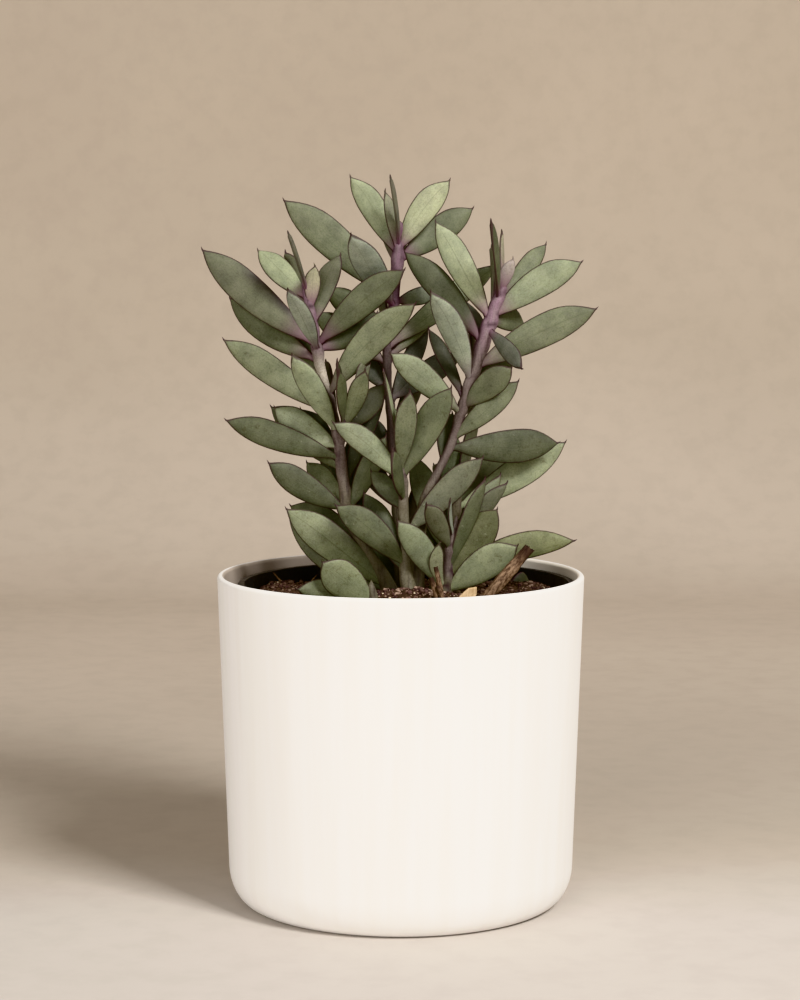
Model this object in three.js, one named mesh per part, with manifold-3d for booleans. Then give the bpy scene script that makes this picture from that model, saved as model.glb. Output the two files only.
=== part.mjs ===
// A vertical-leaf senecio (Senecio crassissimus) in a black grower pot inside a plain white cover pot.
// Millimetres, +Z up. The origin is the middle of the cover pot's flat underside; the front is -Y.

import * as THREE from 'three';
import { mergeVertices } from 'three/addons/utils/BufferGeometryUtils.js';
import Module from 'manifold-3d';

const wasm = await Module();
wasm.setup();

// Cover pot
const POT_HEIGHT = 126.4;
const POT_RIM_RADIUS = 70;
const POT_WALL = 2.6;
const POT_FOOT_RADIUS = 56.8;
const POT_CORNER_RADIUS = 66.2;
const POT_CORNER_HEIGHT = 15;
const POT_FLOOR = 4;
const POT_CORNER_STEPS = 5;
const POT_RIM_STEPS = 5;

// Grower pot
const GROWER_LIP_RADIUS = 64.4;
const GROWER_LIP_HEIGHT = 7;
const GROWER_LIP_BEVEL = 0.8;
const GROWER_BASE_RADIUS = 50;
const GROWER_TOP = 123;
const GROWER_WALL = 1.2;
const GROWER_SHIFT = 2.2;
const DRAIN_HOLES = 6;
const DRAIN_RADIUS = 4.5;
const DRAIN_CIRCLE = 34;

// Soil
const SOIL_CROWN = 118.4;
const SOIL_EDGE = 115.6;
const SOIL_STEPS = 4;
const STEM_DEPTH = 22;
const STEM_HOLE_CLEARANCE = 0.5;
const STICK_HOLE_CLEARANCE = 0.8;
const STICK_HOLE_BOTTOM = 2.5;

// Clearance between solids that touch in the real pot
const GAP = 0.3;
const ROUND_SIDES = 48;
const HOLE_SIDES = 12;

// Leaves and stems
const LEAF_THICKNESS = 2.8;
const LEAF_END_THICKNESS = 0.75;
const LEAF_FLAT = 0.45;
const LEAF_SLIMNESS = 0.28;
const LEAF_WIDEST = 0.62;
const LEAF_TIP_POWER = 2.4;
const PETIOLE_WIDTH = 2.9;
const PETIOLE_TAPER = 0.7;
const LEAF_STATIONS = [0, 0.2, 0.45, 0.7, 0.9];
const STEM_SIDES = 8;
const STEM_STEP = 11;
const BUD_HEIGHT = 2.5;

const FINISHES = {
  cover: { color: 0xf7f4ee, roughness: 0.45 },
  grower: { color: 0x151514, roughness: 0.6 },
  soil: { color: 0x2f241c, roughness: 1 },
  leaf: { color: 0x76805f, roughness: 0.6 },
  bark: { color: 0x6b4f3a, roughness: 0.9 },
  wood: { color: 0xcfae78, roughness: 0.8 },
};

// Points nearer than this are one corner of a solid.
const WELD_DISTANCE = 1e-4;

// Each stem is a list of [x, y, z, radius] from the soil upwards.
// Each leaf is [root height on the stem, tip x, tip y, tip z, width, facing, bow]. Facing is the
// compass turn of the blade's face: 0 looks to the front, 90 to the right. Bow lifts the middle of
// the midrib above the straight line from root to tip.
const PLANT = {
  left_stem: {
    stems: [
      {
        path: [
          [-3.5, 0, 119, 3.2], [-8, 0, 127.5, 3], [-13.5, -1, 136.5, 2.6], [-19.5, -3, 147, 2.3],
          [-21.5, -4, 159, 2.1], [-22.5, -5, 172, 1.9], [-25.5, -6, 187.5, 1.9], [-29.5, -7, 202.5, 1.8],
          [-32, -8, 216, 1.7], [-34.5, -8, 231, 1.5], [-36, -8, 237, 1.2],
        ],
        leaves: [
          [214, -75, -6, 251, 12.8, 0, -1.2],
          [231, -54.5, 4, 250.5, 9.5, 15, 0],
          [212, -41, -38, 236.5, 7.8, -15, 0.8],
          [224, -38.5, 12, 241, 7.5, 70, 0],
          [234, -41.5, -30, 257, 6.5, 104, 0],
          [227, -32.5, -12, 245, 6.2, 10, 0],
          [221, -22.5, -4, 249, 9, -20, 1.6],
          [208, -65.5, 6, 232.5, 10.5, 0, -2.2],
          [188, -67.5, -4, 217, 10.8, 0, 0],
          [181, -40, -30, 212.5, 9.5, -10, 0],
          [212, -8.5, 4, 227, 10.5, 10, -1.5],
          [214, 2, -16, 243.5, 11.5, 0, 1],
          [195, 6, -20, 231, 12, 0, 2.5],
          [175, -48.5, 2, 191, 11.5, 10, -1.5],
          [168, -38.6, 8, 190, 9, 10, 0],
          [171, -67, -6, 186.5, 10.6, 0, -0.3],
          [151, -50.5, -10, 171, 10.5, 0, -1],
          [153, -36.3, 6, 169.7, 8.5, 10, 0],
          [153, -30, 20, 171.5, 8, 20, 0],
          [150, -5.5, 0, 180.5, 8.5, 0, 0],
          [160, -6, 6, 200.5, 8, 10, 0.5],
          [121, -44, -6, 153, 13.6, 0, 0.1],
          [120, -43.5, 7, 151, 11, 0, -5],
          [142, -18.6, 10, 181.4, 9.5, 10, 0],
        ],
        rear: [[130, 150], [148, 110], [166, 155], [182, 100], [198, 140], [212, 95], [224, 125]],
      },
      {
        path: [
          [-23, -5, 175, 1.6], [-21.5, -9, 184, 1.5], [-18.5, -11, 191.5, 1.4], [-15, -12, 197.5, 1.2],
        ],
        leaves: [
          [188, -23.5, -22, 210, 5.5, 70, 0],
          [184, -22.5, -27, 206.5, 6, 40, 0],
          [182, -13.5, -24, 206.5, 7.5, 10, -1],
          [194, -13.5, -11, 210.5, 4, 30, 0],
          [194, -11.5, -9, 208.5, 4, 30, 0],
          [182, -6.5, -1, 200.5, 8.5, 0, -2],
        ],
        rear: [],
      },
    ],
  },
  centre_stem: {
    stems: [
      {
        path: [
          [0.5, 12, 119, 3], [-0.5, 13, 137.5, 2.3], [-2, 13, 157, 1.8], [-3.5, 13, 176.5, 1.5],
          [-5, 13, 201.5, 1.4], [-5.5, 13, 211, 1.5], [-3, 12, 226.5, 1.6], [-2, 12, 236, 1.9],
          [-1.2, 12, 245, 2], [-0.5, 12, 253, 1.2],
        ],
        leaves: [
          [217, -29.5, 16, 236, 10, 10, 0],
          [231, -45, 8, 269.5, 13.5, 0, 0.6],
          [228, -18.2, -26, 256.4, 11.5, -10, -0.3],
          [247, -19.5, 14, 278.5, 10, 0, 1.2],
          [248, -5.7, 5, 273, 5.2, 20, 0],
          [251, -4, -10, 277.8, 6, 86, 0],
          [252, -1, 10, 262.5, 4, 20, 0],
          [249, 19, 8, 277, 10.5, 0, 1.4],
          [245, 28.5, 24, 266.5, 11, 10, 0],
          [212, 38, 22, 245, 10, 10, 0],
          [229.5, 15, 22, 233.5, 7, 10, 0],
          [195, -19, 24, 212.5, 8.5, 10, 0],
          [208, 18.5, 22, 238.5, 6.5, 5, -3],
          [190, 10.5, 22.5, 220.5, 7.5, 10, 0],
          [192, 24, 24, 210.5, 10, 0, 0],
          [206, -34, 18, 226.5, 10.5, 10, 0],
          [163, -16.5, 24, 187, 12, 10, 0],
          [138, -23, 22, 152, 15, 10, 0],
          [121, -14, 20, 136, 10, 10, 0],
        ],
        rear: [
          [128, 110], [136, 75], [150, 125], [163, 80], [178, 62],
          [190, 115], [204, 70], [218, 105], [232, 75], [243, 120],
        ],
      },
    ],
  },
  right_stem: {
    stems: [
      {
        path: [
          [6, -1, 119.5, 3], [7, -2, 135.5, 2.6], [9, -3, 155, 2.1], [13.5, -3, 164.5, 1.8],
          [17.5, -3, 173, 1.6], [21, -3, 182.5, 1.7], [24, -3, 192, 1.9], [26.5, -3, 200.5, 2.2],
          [30, -3, 211, 2.7], [32.8, -3, 220, 2.6], [36, -3, 229.5, 2.1], [38.5, -3, 235.5, 1.5],
        ],
        leaves: [
          [223, 13, -2, 261.5, 10.5, 0, 0],
          [216, 23.5, 15.5, 230, 9, 30, 0],
          [231, 33, -28, 261.5, 7.5, 74, 0],
          [234, 39, 26, 257.5, 5.5, 64, 0],
          [233, 42, -8, 247.5, 5.6, 20, 0],
          [214, 1, 3, 250, 10.5, 0, 1.5],
          [200, 11, -24, 235.5, 10, -10, 1.6],
          [231, 55.5, 8, 253, 7.5, 0, -0.8],
          [224, 69, -3, 246, 11.5, 0, 1.6],
          [205, 74.5, -6, 228.5, 12.5, 0, 1.2],
          [220, 45, -36, 206.5, 6.6, -10, 0],
          [222, 48, 12, 220.5, 9, 10, 2],
          [190, 42, -14, 207, 10.5, 0, 0],
          [178, 45, -4, 201.5, 9, 0, -0.4],
          [188, -4.5, -14, 212.5, 10.5, 0, 0.6],
          [193, 10.5, 2, 221, 6, 20, 0],
          [169, 19.5, 8, 188.5, 9, 20, 0],
          [175, 61.5, 8, 176.5, 13, 0, -0.9],
        ],
        rear: [[170, 88], [186, 35], [200, 85], [214, 50], [226, 90]],
      },
    ],
  },
  back_stem: {
    stems: [
      {
        path: [
          [13.5, 12, 119.5, 2.6], [17.5, 12, 134, 2.3], [20.5, 11, 147.5, 2.1], [22.5, 10, 161.5, 1.6],
        ],
        leaves: [
          [150, 64.5, 18, 176.5, 12.5, 0, -1],
          [132, 5, 22, 171.5, 11, 10, 0],
          [146, 20, 24, 180, 10, 10, 0],
          [124, 8, 24, 150, 9, 10, 0],
        ],
        rear: [[130, 60], [142, 100], [152, 45], [158, 75]],
      },
    ],
  },
  front_stem: {
    stems: [
      {
        path: [
          [3, -14, 120.5, 3], [2, -14, 133.5, 2.1], [1.4, -14, 147.5, 1.9], [0.8, -14, 160, 1.8],
          [-0.5, -14, 170.5, 1.6], [-1, -14, 175.5, 1.2],
        ],
        leaves: [
          [167, 3, -28, 199, 8.5, 10, 0],
          [164, 19, -18, 200, 11.5, 0, 0.5],
          [163, -26, -18, 186.5, 9.5, 0, 2.1],
          [173, -6.5, -28, 206.5, 4, 75, 0],
          [156, -3, -30, 177.5, 8.5, 60, -1],
          [174, -2.5, -14, 193, 3.5, 30, 0],
          [152, -11.5, -6, 167.5, 7.5, 10, 0],
          [143, 31.5, -10, 173, 10.5, 0, 0],
          [131, -25, -18, 155.5, 11.5, 0, 1.6],
          [127, -14, -8, 159.5, 10, 15, 0],
        ],
        rear: [],
      },
    ],
  },
  low_shoot: {
    stems: [
      {
        path: [[-9.5, -24, 117.5, 2.2], [-10, -25, 119.5, 2], [-11, -26, 125, 1.3]],
        leaves: [
          [120.5, -39.7, -30, 125.2, 9, 10, 0],
          [119, -29.3, -35, 136.5, 14, 0, -1.2],
        ],
        rear: [],
      },
    ],
  },
  right_shoot: {
    stems: [
      {
        path: [[17, -13, 121, 2.4], [17.5, -14, 131.5, 1.9], [19, -15, 140, 1.6], [21, -15, 148, 1.2]],
        leaves: [
          [122, -1.5, -27, 151, 10.5, 0, 0.5],
          [122, 15.5, -26, 142.3, 5.6, 0, -3],
          [138, 9.5, -32, 157.5, 7.8, 10, 0],
          [143, 18.5, -28, 158.5, 4.5, 72, 0],
          [128, 31.5, -19, 166, 7, 30, 0],
          [131, 38, -4, 166, 8.5, 20, 0],
          [138, 40.5, -11, 163.5, 7.5, 30, 0],
          [126, 36.5, -15, 154, 13.5, -10, 0],
          [121, 44, -28, 141.5, 12.5, 0, 0.5],
          [127, 67, -8, 140.5, 10.5, 0, 3.4],
        ],
        rear: [],
      },
    ],
  },
};

// Rear leaves shorten, narrow and steepen from the soil to the top of the tallest stem.
const REAR_LEAF = {
  low: { height: 128, length: 45, width: 15, rise: 28 },
  high: { height: 245, length: 29, width: 9, rise: 60 },
  bow: 1,
};

// Sticks are slanted splinters with a six-cornered section, thicker and thinner by their wobble.
const STICK_SECTION = [[1, 0.1], [0.55, 0.9], [-0.5, 1], [-1, -0.1], [-0.45, -0.9], [0.6, -1]];
const STICK_STATIONS = [0, 0.35, 0.7, 0.93];
const BARK = { foot: [22.5, -32, 110], head: [48, -31, 140.5], width: 4.4, depth: 3.6, wobble: 0.06 };
const TWIG = { foot: [16.5, -30.5, 110], head: [11, -29.5, 131], width: 2.2, depth: 1.8, wobble: 0.1 };

// A pale chip of wood stands tilted on the soil. Its outline is in shares of its length and height.
const CHIP_OUTLINE = [[-0.45, -0.5], [0.3, -0.5], [0.5, 0.1], [0.46, 0.5], [-0.02, 0.4], [-0.5, -0.1]];
const CHIP = { at: [24.9, -25, 121.6], length: 6.4, thickness: 1.2, height: 7, turn: [10, 6, 12] };

// A shed leaf lies on the soil behind the bark.
const SHED_LEAF = { root: [41.5, 12, 119.3], tip: [50.8, 20, 120.6], width: 7.6, facing: 35, bow: 1 };

const up = new THREE.Vector3(0, 0, 1);
const degrees = THREE.MathUtils.degToRad;

// Closed geometry through rings of points. A ring runs anticlockwise seen against the way the
// rings advance, and apex closes the far end in a point.
function loft(rings, apex) {
  const sides = rings[0].length;
  const points = rings.flat();
  const faces = [];
  for (let i = 0; i < rings.length - 1; i += 1) {
    for (let j = 0; j < sides; j += 1) {
      const a = i * sides + j;
      const b = i * sides + ((j + 1) % sides);
      faces.push(a, b, b + sides);
      faces.push(a, b + sides, a + sides);
    }
  }
  for (let j = 1; j < sides - 1; j += 1) {
    faces.push(0, j + 1, j);
  }
  const last = (rings.length - 1) * sides;
  points.push(apex);
  for (let j = 0; j < sides; j += 1) {
    faces.push(last + j, last + ((j + 1) % sides), points.length - 1);
  }
  const geometry = new THREE.BufferGeometry().setFromPoints(points);
  geometry.setIndex(faces);
  return geometry;
}

function toSolid(geometry) {
  const plain = geometry.clone();
  plain.deleteAttribute('normal');
  plain.deleteAttribute('uv');
  const merged = mergeVertices(plain, WELD_DISTANCE);
  return new wasm.Manifold(new wasm.Mesh({
    numProp: 3,
    vertProperties: new Float32Array(merged.attributes.position.array),
    triVerts: new Uint32Array(merged.index.array),
  }));
}

function toGeometry(solid) {
  const mesh = solid.getMesh();
  const geometry = new THREE.BufferGeometry();
  geometry.setAttribute('position', new THREE.BufferAttribute(new Float32Array(mesh.vertProperties), 3));
  geometry.setIndex(new THREE.BufferAttribute(new Uint32Array(mesh.triVerts), 1));
  geometry.computeVertexNormals();
  return geometry;
}

// The largest closed body of a solid: pockets sealed in between crowded leaves are filled.
function wholeBody(solid) {
  const bodies = solid.decompose();
  bodies.sort((a, b) => b.volume() - a.volume());
  return bodies[0];
}

function lathe(profile) {
  const points = profile.map(([radius, height]) => new THREE.Vector2(radius, height));
  const geometry = new THREE.LatheGeometry(points, ROUND_SIDES);
  geometry.rotateX(Math.PI / 2);
  return geometry;
}

// Centre and radius of a stem at a height: a smooth curve through the points of its path.
function alongStem(path, height) {
  const z = THREE.MathUtils.clamp(height, path[0][2], path.at(-1)[2]);
  let i = 0;
  while (i < path.length - 2 && path[i + 1][2] <= z) {
    i += 1;
  }
  const slope = (k, axis) => {
    const before = path[Math.max(k - 1, 0)];
    const after = path[Math.min(k + 1, path.length - 1)];
    return (after[axis] - before[axis]) / (after[2] - before[2]);
  };
  const span = path[i + 1][2] - path[i][2];
  const t = (z - path[i][2]) / span;
  const blend = (axis) => (2 * t ** 3 - 3 * t ** 2 + 1) * path[i][axis]
    + (t ** 3 - 2 * t ** 2 + t) * span * slope(i, axis)
    + (3 * t ** 2 - 2 * t ** 3) * path[i + 1][axis]
    + (t ** 3 - t ** 2) * span * slope(i + 1, axis);
  return { centre: new THREE.Vector3(blend(0), blend(1), z), radius: blend(3) };
}

function stemRing(centre, radius) {
  const ring = [];
  for (let j = 0; j < STEM_SIDES; j += 1) {
    const angle = (j / STEM_SIDES) * 2 * Math.PI;
    ring.push(new THREE.Vector3(
      centre.x + radius * Math.cos(angle),
      centre.y + radius * Math.sin(angle),
      centre.z,
    ));
  }
  return ring;
}

function stemSolid(path, fromSoil) {
  const foot = path[0][2];
  const top = path.at(-1)[2];
  const steps = Math.max(3, Math.round((top - foot) / STEM_STEP));
  const rings = [];
  if (fromSoil) {
    const [x, y, , radius] = path[0];
    rings.push(stemRing(new THREE.Vector3(x, y, SOIL_CROWN - STEM_DEPTH), radius));
  }
  for (let i = 0; i <= steps; i += 1) {
    const { centre, radius } = alongStem(path, foot + ((top - foot) * i) / steps);
    rings.push(stemRing(centre, radius));
  }
  const apex = alongStem(path, top).centre.addScaledVector(up, BUD_HEIGHT);
  return toSolid(loft(rings, apex));
}

// Share of the full width at a share t of the way from root to tip: a parabola from the root to the
// widest place, and a blunter curve from there to the pointed tip.
function outline(t) {
  if (t < LEAF_WIDEST) {
    return 1 - (1 - t / LEAF_WIDEST) ** 2;
  }
  return 1 - ((t - LEAF_WIDEST) / (1 - LEAF_WIDEST)) ** LEAF_TIP_POWER;
}

// A fleshy blade, lens shaped in section, that stands on edge as the real leaves do.
function leafSolid(root, tip, width, facing, bow) {
  const chord = tip.clone().sub(root);
  const along = chord.clone().normalize();
  const face = new THREE.Vector3(Math.sin(degrees(facing)), -Math.cos(degrees(facing)), 0);
  const across = new THREE.Vector3().crossVectors(along, face).normalize();
  if (across.z < 0) {
    across.negate();
  }
  const normal = new THREE.Vector3().crossVectors(along, across).normalize();
  const thickness = Math.min(LEAF_THICKNESS, LEAF_SLIMNESS * width);
  const rings = LEAF_STATIONS.map((t) => {
    const middle = root.clone().addScaledVector(chord, t).addScaledVector(across, bow * 4 * t * (1 - t));
    const half = Math.max(width * outline(t), PETIOLE_WIDTH * (1 - t) ** PETIOLE_TAPER) / 2;
    const thick = (thickness / 2) * THREE.MathUtils.lerp(LEAF_END_THICKNESS, 1, Math.sin(Math.PI * t));
    const corner = (side, depth) => middle.clone()
      .addScaledVector(across, side * half)
      .addScaledVector(normal, depth * thick);
    return [
      corner(1, 0), corner(LEAF_FLAT, 1), corner(-LEAF_FLAT, 1),
      corner(-1, 0), corner(-LEAF_FLAT, -1), corner(LEAF_FLAT, -1),
    ];
  });
  return toSolid(loft(rings, tip.clone()));
}

function placedLeaf(path, [height, x, y, z, width, facing, bow]) {
  return leafSolid(alongStem(path, height).centre, new THREE.Vector3(x, y, z), width, facing, bow);
}

function rearLeaf(path, [height, azimuth]) {
  const { low, high, bow } = REAR_LEAF;
  const share = (height - low.height) / (high.height - low.height);
  const grade = (name) => THREE.MathUtils.lerp(low[name], high[name], share);
  const rise = degrees(grade('rise'));
  const turn = degrees(azimuth);
  const way = new THREE.Vector3(
    Math.cos(rise) * Math.cos(turn),
    Math.cos(rise) * Math.sin(turn),
    Math.sin(rise),
  );
  const root = alongStem(path, height).centre;
  const tip = root.clone().addScaledVector(way, grade('length'));
  return leafSolid(root, tip, grade('width'), azimuth, bow);
}

function leafyStem({ stems }) {
  const solids = stems.flatMap(({ path, leaves, rear }, index) => [
    stemSolid(path, index === 0),
    ...leaves.map((leaf) => placedLeaf(path, leaf)),
    ...rear.map((leaf) => rearLeaf(path, leaf)),
  ]);
  return toGeometry(wholeBody(wasm.Manifold.union(solids)));
}

// The rounded corner between a pot's underside and its side, from a foot's radius and height.
function potCorner(footRadius, footHeight) {
  const points = [];
  for (let i = 0; i <= POT_CORNER_STEPS; i += 1) {
    const angle = (i / POT_CORNER_STEPS) * (Math.PI / 2);
    points.push([
      footRadius + (POT_CORNER_RADIUS - POT_FOOT_RADIUS) * Math.sin(angle),
      footHeight + (POT_CORNER_HEIGHT - footHeight) * (1 - Math.cos(angle)),
    ]);
  }
  return points;
}

// Straight-sided pot with a rounded foot and a soft rim; the profile closes on the axis.
function coverPot() {
  const half = POT_WALL / 2;
  const rim = [];
  for (let i = 0; i <= POT_RIM_STEPS; i += 1) {
    const angle = (i / POT_RIM_STEPS) * Math.PI;
    rim.push([
      POT_RIM_RADIUS - half + half * Math.cos(angle),
      POT_HEIGHT - half + half * Math.sin(angle),
    ]);
  }
  return lathe([
    [0, 0],
    ...potCorner(POT_FOOT_RADIUS, 0),
    ...rim,
    ...potCorner(POT_FOOT_RADIUS - POT_WALL, POT_FLOOR).reverse(),
    [0, POT_FLOOR],
  ]);
}

const growerFloor = POT_FLOOR + GAP;
const growerSlope = (GROWER_LIP_RADIUS - GROWER_WALL - GROWER_BASE_RADIUS) / (GROWER_TOP - growerFloor);

function growerRadius(height) {
  return GROWER_BASE_RADIUS + growerSlope * (height - growerFloor);
}

function growerPot() {
  const lipFoot = GROWER_TOP - GROWER_LIP_HEIGHT;
  const shell = toSolid(lathe([
    [0, growerFloor],
    [GROWER_BASE_RADIUS, growerFloor],
    [growerRadius(lipFoot), lipFoot],
    [growerRadius(lipFoot) + GROWER_WALL, lipFoot + GROWER_LIP_BEVEL],
    [GROWER_LIP_RADIUS, GROWER_TOP],
    [growerRadius(GROWER_TOP) - GROWER_WALL, GROWER_TOP],
    [growerRadius(growerFloor + GROWER_WALL) - GROWER_WALL, growerFloor + GROWER_WALL],
    [0, growerFloor + GROWER_WALL],
  ]));
  const drains = [];
  for (let i = 0; i < DRAIN_HOLES; i += 1) {
    const angle = ((i + 0.5) / DRAIN_HOLES) * 2 * Math.PI;
    const drain = new THREE.CylinderGeometry(DRAIN_RADIUS, DRAIN_RADIUS, 4 * GROWER_WALL, HOLE_SIDES);
    drain.rotateX(Math.PI / 2);
    drain.translate(DRAIN_CIRCLE * Math.cos(angle), DRAIN_CIRCLE * Math.sin(angle), growerFloor);
    drains.push(toSolid(drain));
  }
  return toGeometry(shell.subtract(wasm.Manifold.union(drains)));
}

// Soil fills the grower pot, crowned in the middle, with a plain hole for each stem and buried stick.
function soil(holes) {
  const foot = growerFloor + GROWER_WALL + GAP;
  const inside = (height) => growerRadius(height) - GROWER_WALL - GAP;
  const profile = [[0, foot], [inside(foot), foot]];
  for (let i = 0; i <= SOIL_STEPS; i += 1) {
    const share = 1 - i / SOIL_STEPS;
    profile.push([
      inside(SOIL_EDGE) * share,
      THREE.MathUtils.lerp(SOIL_CROWN, SOIL_EDGE, share ** 2),
    ]);
  }
  const cuts = holes.map(({ x, y, radius, depth }) => {
    const hole = new THREE.CylinderGeometry(radius, radius, 2 * depth, HOLE_SIDES);
    hole.rotateX(Math.PI / 2);
    hole.translate(x - GROWER_SHIFT, y, SOIL_CROWN);
    return toSolid(hole);
  });
  return toGeometry(toSolid(lathe(profile)).subtract(wasm.Manifold.union(cuts)));
}

function stick({ foot, head, width, depth, wobble }) {
  const start = new THREE.Vector3(...foot);
  const end = new THREE.Vector3(...head);
  const along = end.clone().sub(start);
  const side = new THREE.Vector3(0, 1, 0).cross(along).normalize();
  const back = new THREE.Vector3().crossVectors(along, side).normalize();
  const rings = STICK_STATIONS.map((t, i) => {
    const grow = 1 + wobble * (-1) ** i;
    const middle = start.clone().addScaledVector(along, t);
    return STICK_SECTION.map(([a, b]) => middle.clone()
      .addScaledVector(side, (a * grow * width) / 2)
      .addScaledVector(back, (b * grow * depth) / 2));
  });
  return loft(rings, end);
}

function woodChip() {
  const { length, thickness, height } = CHIP;
  const shape = new THREE.Shape(CHIP_OUTLINE.map(([a, b]) => new THREE.Vector2(a * length, b * height)));
  const geometry = new THREE.ExtrudeGeometry(shape, { depth: thickness, bevelEnabled: false });
  geometry.rotateX(Math.PI / 2);
  return geometry;
}

function shedLeaf() {
  const { root, tip, width, facing, bow } = SHED_LEAF;
  return toGeometry(leafSolid(new THREE.Vector3(...root), new THREE.Vector3(...tip), width, facing, bow));
}

function stemHole({ stems }) {
  const [x, y, , radius] = stems[0].path[0];
  return { x, y, radius: radius + STEM_HOLE_CLEARANCE, depth: STEM_DEPTH + GAP };
}

// A hole wide enough for the slant of a stick between its foot and the top of the soil.
function stickHole({ foot, head, width }) {
  const buried = SOIL_CROWN - foot[2];
  const drift = ((head[0] - foot[0]) / (head[2] - foot[2])) * (buried / 2);
  return {
    x: foot[0] + drift,
    y: (foot[1] + head[1]) / 2,
    radius: width / 2 + Math.abs(drift) + STICK_HOLE_CLEARANCE,
    depth: buried + STICK_HOLE_BOTTOM,
  };
}

const plant = new THREE.Group();

function add(name, geometry, finish) {
  const mesh = new THREE.Mesh(geometry, new THREE.MeshStandardMaterial({ ...finish, metalness: 0 }));
  mesh.name = name;
  plant.add(mesh);
  return mesh;
}

const holes = [...Object.values(PLANT).map(stemHole), ...[BARK, TWIG].map(stickHole)];

add('cover_pot', coverPot(), FINISHES.cover);
add('grower_pot', growerPot(), FINISHES.grower).position.x = GROWER_SHIFT;
add('soil', soil(holes), FINISHES.soil).position.x = GROWER_SHIFT;
for (const [name, parts] of Object.entries(PLANT)) {
  add(name, leafyStem(parts), FINISHES.leaf);
}
add('bark_stick', stick(BARK), FINISHES.bark);
add('twig', stick(TWIG), FINISHES.bark);
const chip = add('wood_chip', woodChip(), FINISHES.wood);
chip.position.set(...CHIP.at);
chip.rotation.set(...CHIP.turn.map(degrees));
add('shed_leaf', shedLeaf(), FINISHES.leaf);

export default plant;
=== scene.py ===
# Looks for a potted vertical-leaf senecio: finer leaves, stems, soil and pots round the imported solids.
# Shapes are in millimetres and multiplied by MM where a mesh is made; the camera, the lights and the
# materials are in metres. +Z is up, and the front of the plant is at -Y.

import math
import random

import bmesh
import bpy
import numpy as np
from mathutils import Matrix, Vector, noise


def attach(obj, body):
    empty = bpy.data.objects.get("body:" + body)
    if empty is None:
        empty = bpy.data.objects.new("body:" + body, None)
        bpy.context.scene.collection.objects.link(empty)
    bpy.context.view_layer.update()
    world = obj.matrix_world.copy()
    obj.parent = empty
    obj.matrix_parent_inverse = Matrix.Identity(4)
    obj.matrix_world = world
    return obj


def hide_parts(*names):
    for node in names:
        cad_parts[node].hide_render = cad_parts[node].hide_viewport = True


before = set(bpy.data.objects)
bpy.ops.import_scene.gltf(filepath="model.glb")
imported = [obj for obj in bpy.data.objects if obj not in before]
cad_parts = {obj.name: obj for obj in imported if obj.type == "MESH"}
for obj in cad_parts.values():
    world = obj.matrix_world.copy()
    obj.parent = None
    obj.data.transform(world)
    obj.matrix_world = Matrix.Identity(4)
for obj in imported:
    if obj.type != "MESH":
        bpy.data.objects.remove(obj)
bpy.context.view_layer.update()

MM = 0.001
SEED = 41
BODY = "root"

# Cover pot
POT_HEIGHT = 126.4
POT_RIM_RADIUS = 70
POT_WALL = 2.6
POT_FOOT_RADIUS = 56.8
POT_CORNER_RADIUS = 66.2
POT_CORNER_HEIGHT = 15
POT_FLOOR = 4
POT_SIDES = 200
RIM_POINTS = 17
CORNER_STEPS = 18
OUTSIDE_STEPS = 24
INSIDE_STEPS = 12

# Grower pot
GAP = 0.3
GROWER_FOOT = POT_FLOOR + GAP
GROWER_LIP_RADIUS = 64.4
GROWER_LIP_HEIGHT = 7
GROWER_LIP_BEVEL = 0.8
GROWER_BASE_RADIUS = 50
GROWER_TOP = 123
GROWER_WALL = 1.2
GROWER_SHIFT = 2.2
GROWER_SIDES = 144
GROWER_STEPS = 10
DRAIN_HOLES = 6
DRAIN_RADIUS = 4.5
DRAIN_CIRCLE = 34
DRAIN_SIDES = 32

# Soil
SOIL_CROWN = 118.4
SOIL_EDGE = 115.6
SOIL_SIDES = 144
SOIL_RINGS = 48
SOIL_WALL_STEPS = 8
SOIL_TONE = (0.075, 0.048, 0.033)
STEM_DEPTH = 22

# Leaf blades. The pairs are the ends of a random draw, apart from LEAF_LENS, the powers that shape the
# section, and MUCRO_STATIONS, shares of the point's length.
LEAF_THICKNESS = 2.8
LEAF_END_THICKNESS = 0.75
LEAF_EDGE_THICKNESS = 0.15
LEAF_EDGE_SLOPE = 0.75
LEAF_SLIMNESS = 0.28
LEAF_LENS = (2.4, 0.7)
LEAF_WIDEST = 0.62
LEAF_TIP_POWER = 2.4
LEAF_CURL = (-0.9, 0.9)
LEAF_TWIST = (-9, 9)
LEAF_SHADE = (0.92, 1.08)
LEAF_RIB = (0.1, 1)
PETIOLE_WIDTH = 2.9
PETIOLE_TAPER = 0.7
MUCRO_LENGTH = 1.3
MUCRO_WIDTH = 0.7
MUCRO_STATIONS = (0.3, 0.65)
MUCRO_HOOK = 0.6
HOOK_START = 0.72
LEAF_STATIONS = 22
LEAF_SIDES = 20

# Stems. At each leaf's root a swelling lies a little below and a dark crease of painted shade a little
# above. Each wobble is (share of the radius, waves round the stem, turn in each mm of height, weight of
# the seed).
STEM_SIDES = 20
STEM_STEP = 1.4
BUD_HEIGHT = 2.5
SWELL = {"size": 0.55, "rise": -1.2, "reach": 2.2}
CREASE = {"rise": 1.6, "reach": 0.7}
WOBBLES = ((0.04, 3, 0.31, 9), (0.03, 5, 0.17, 0))
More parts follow.
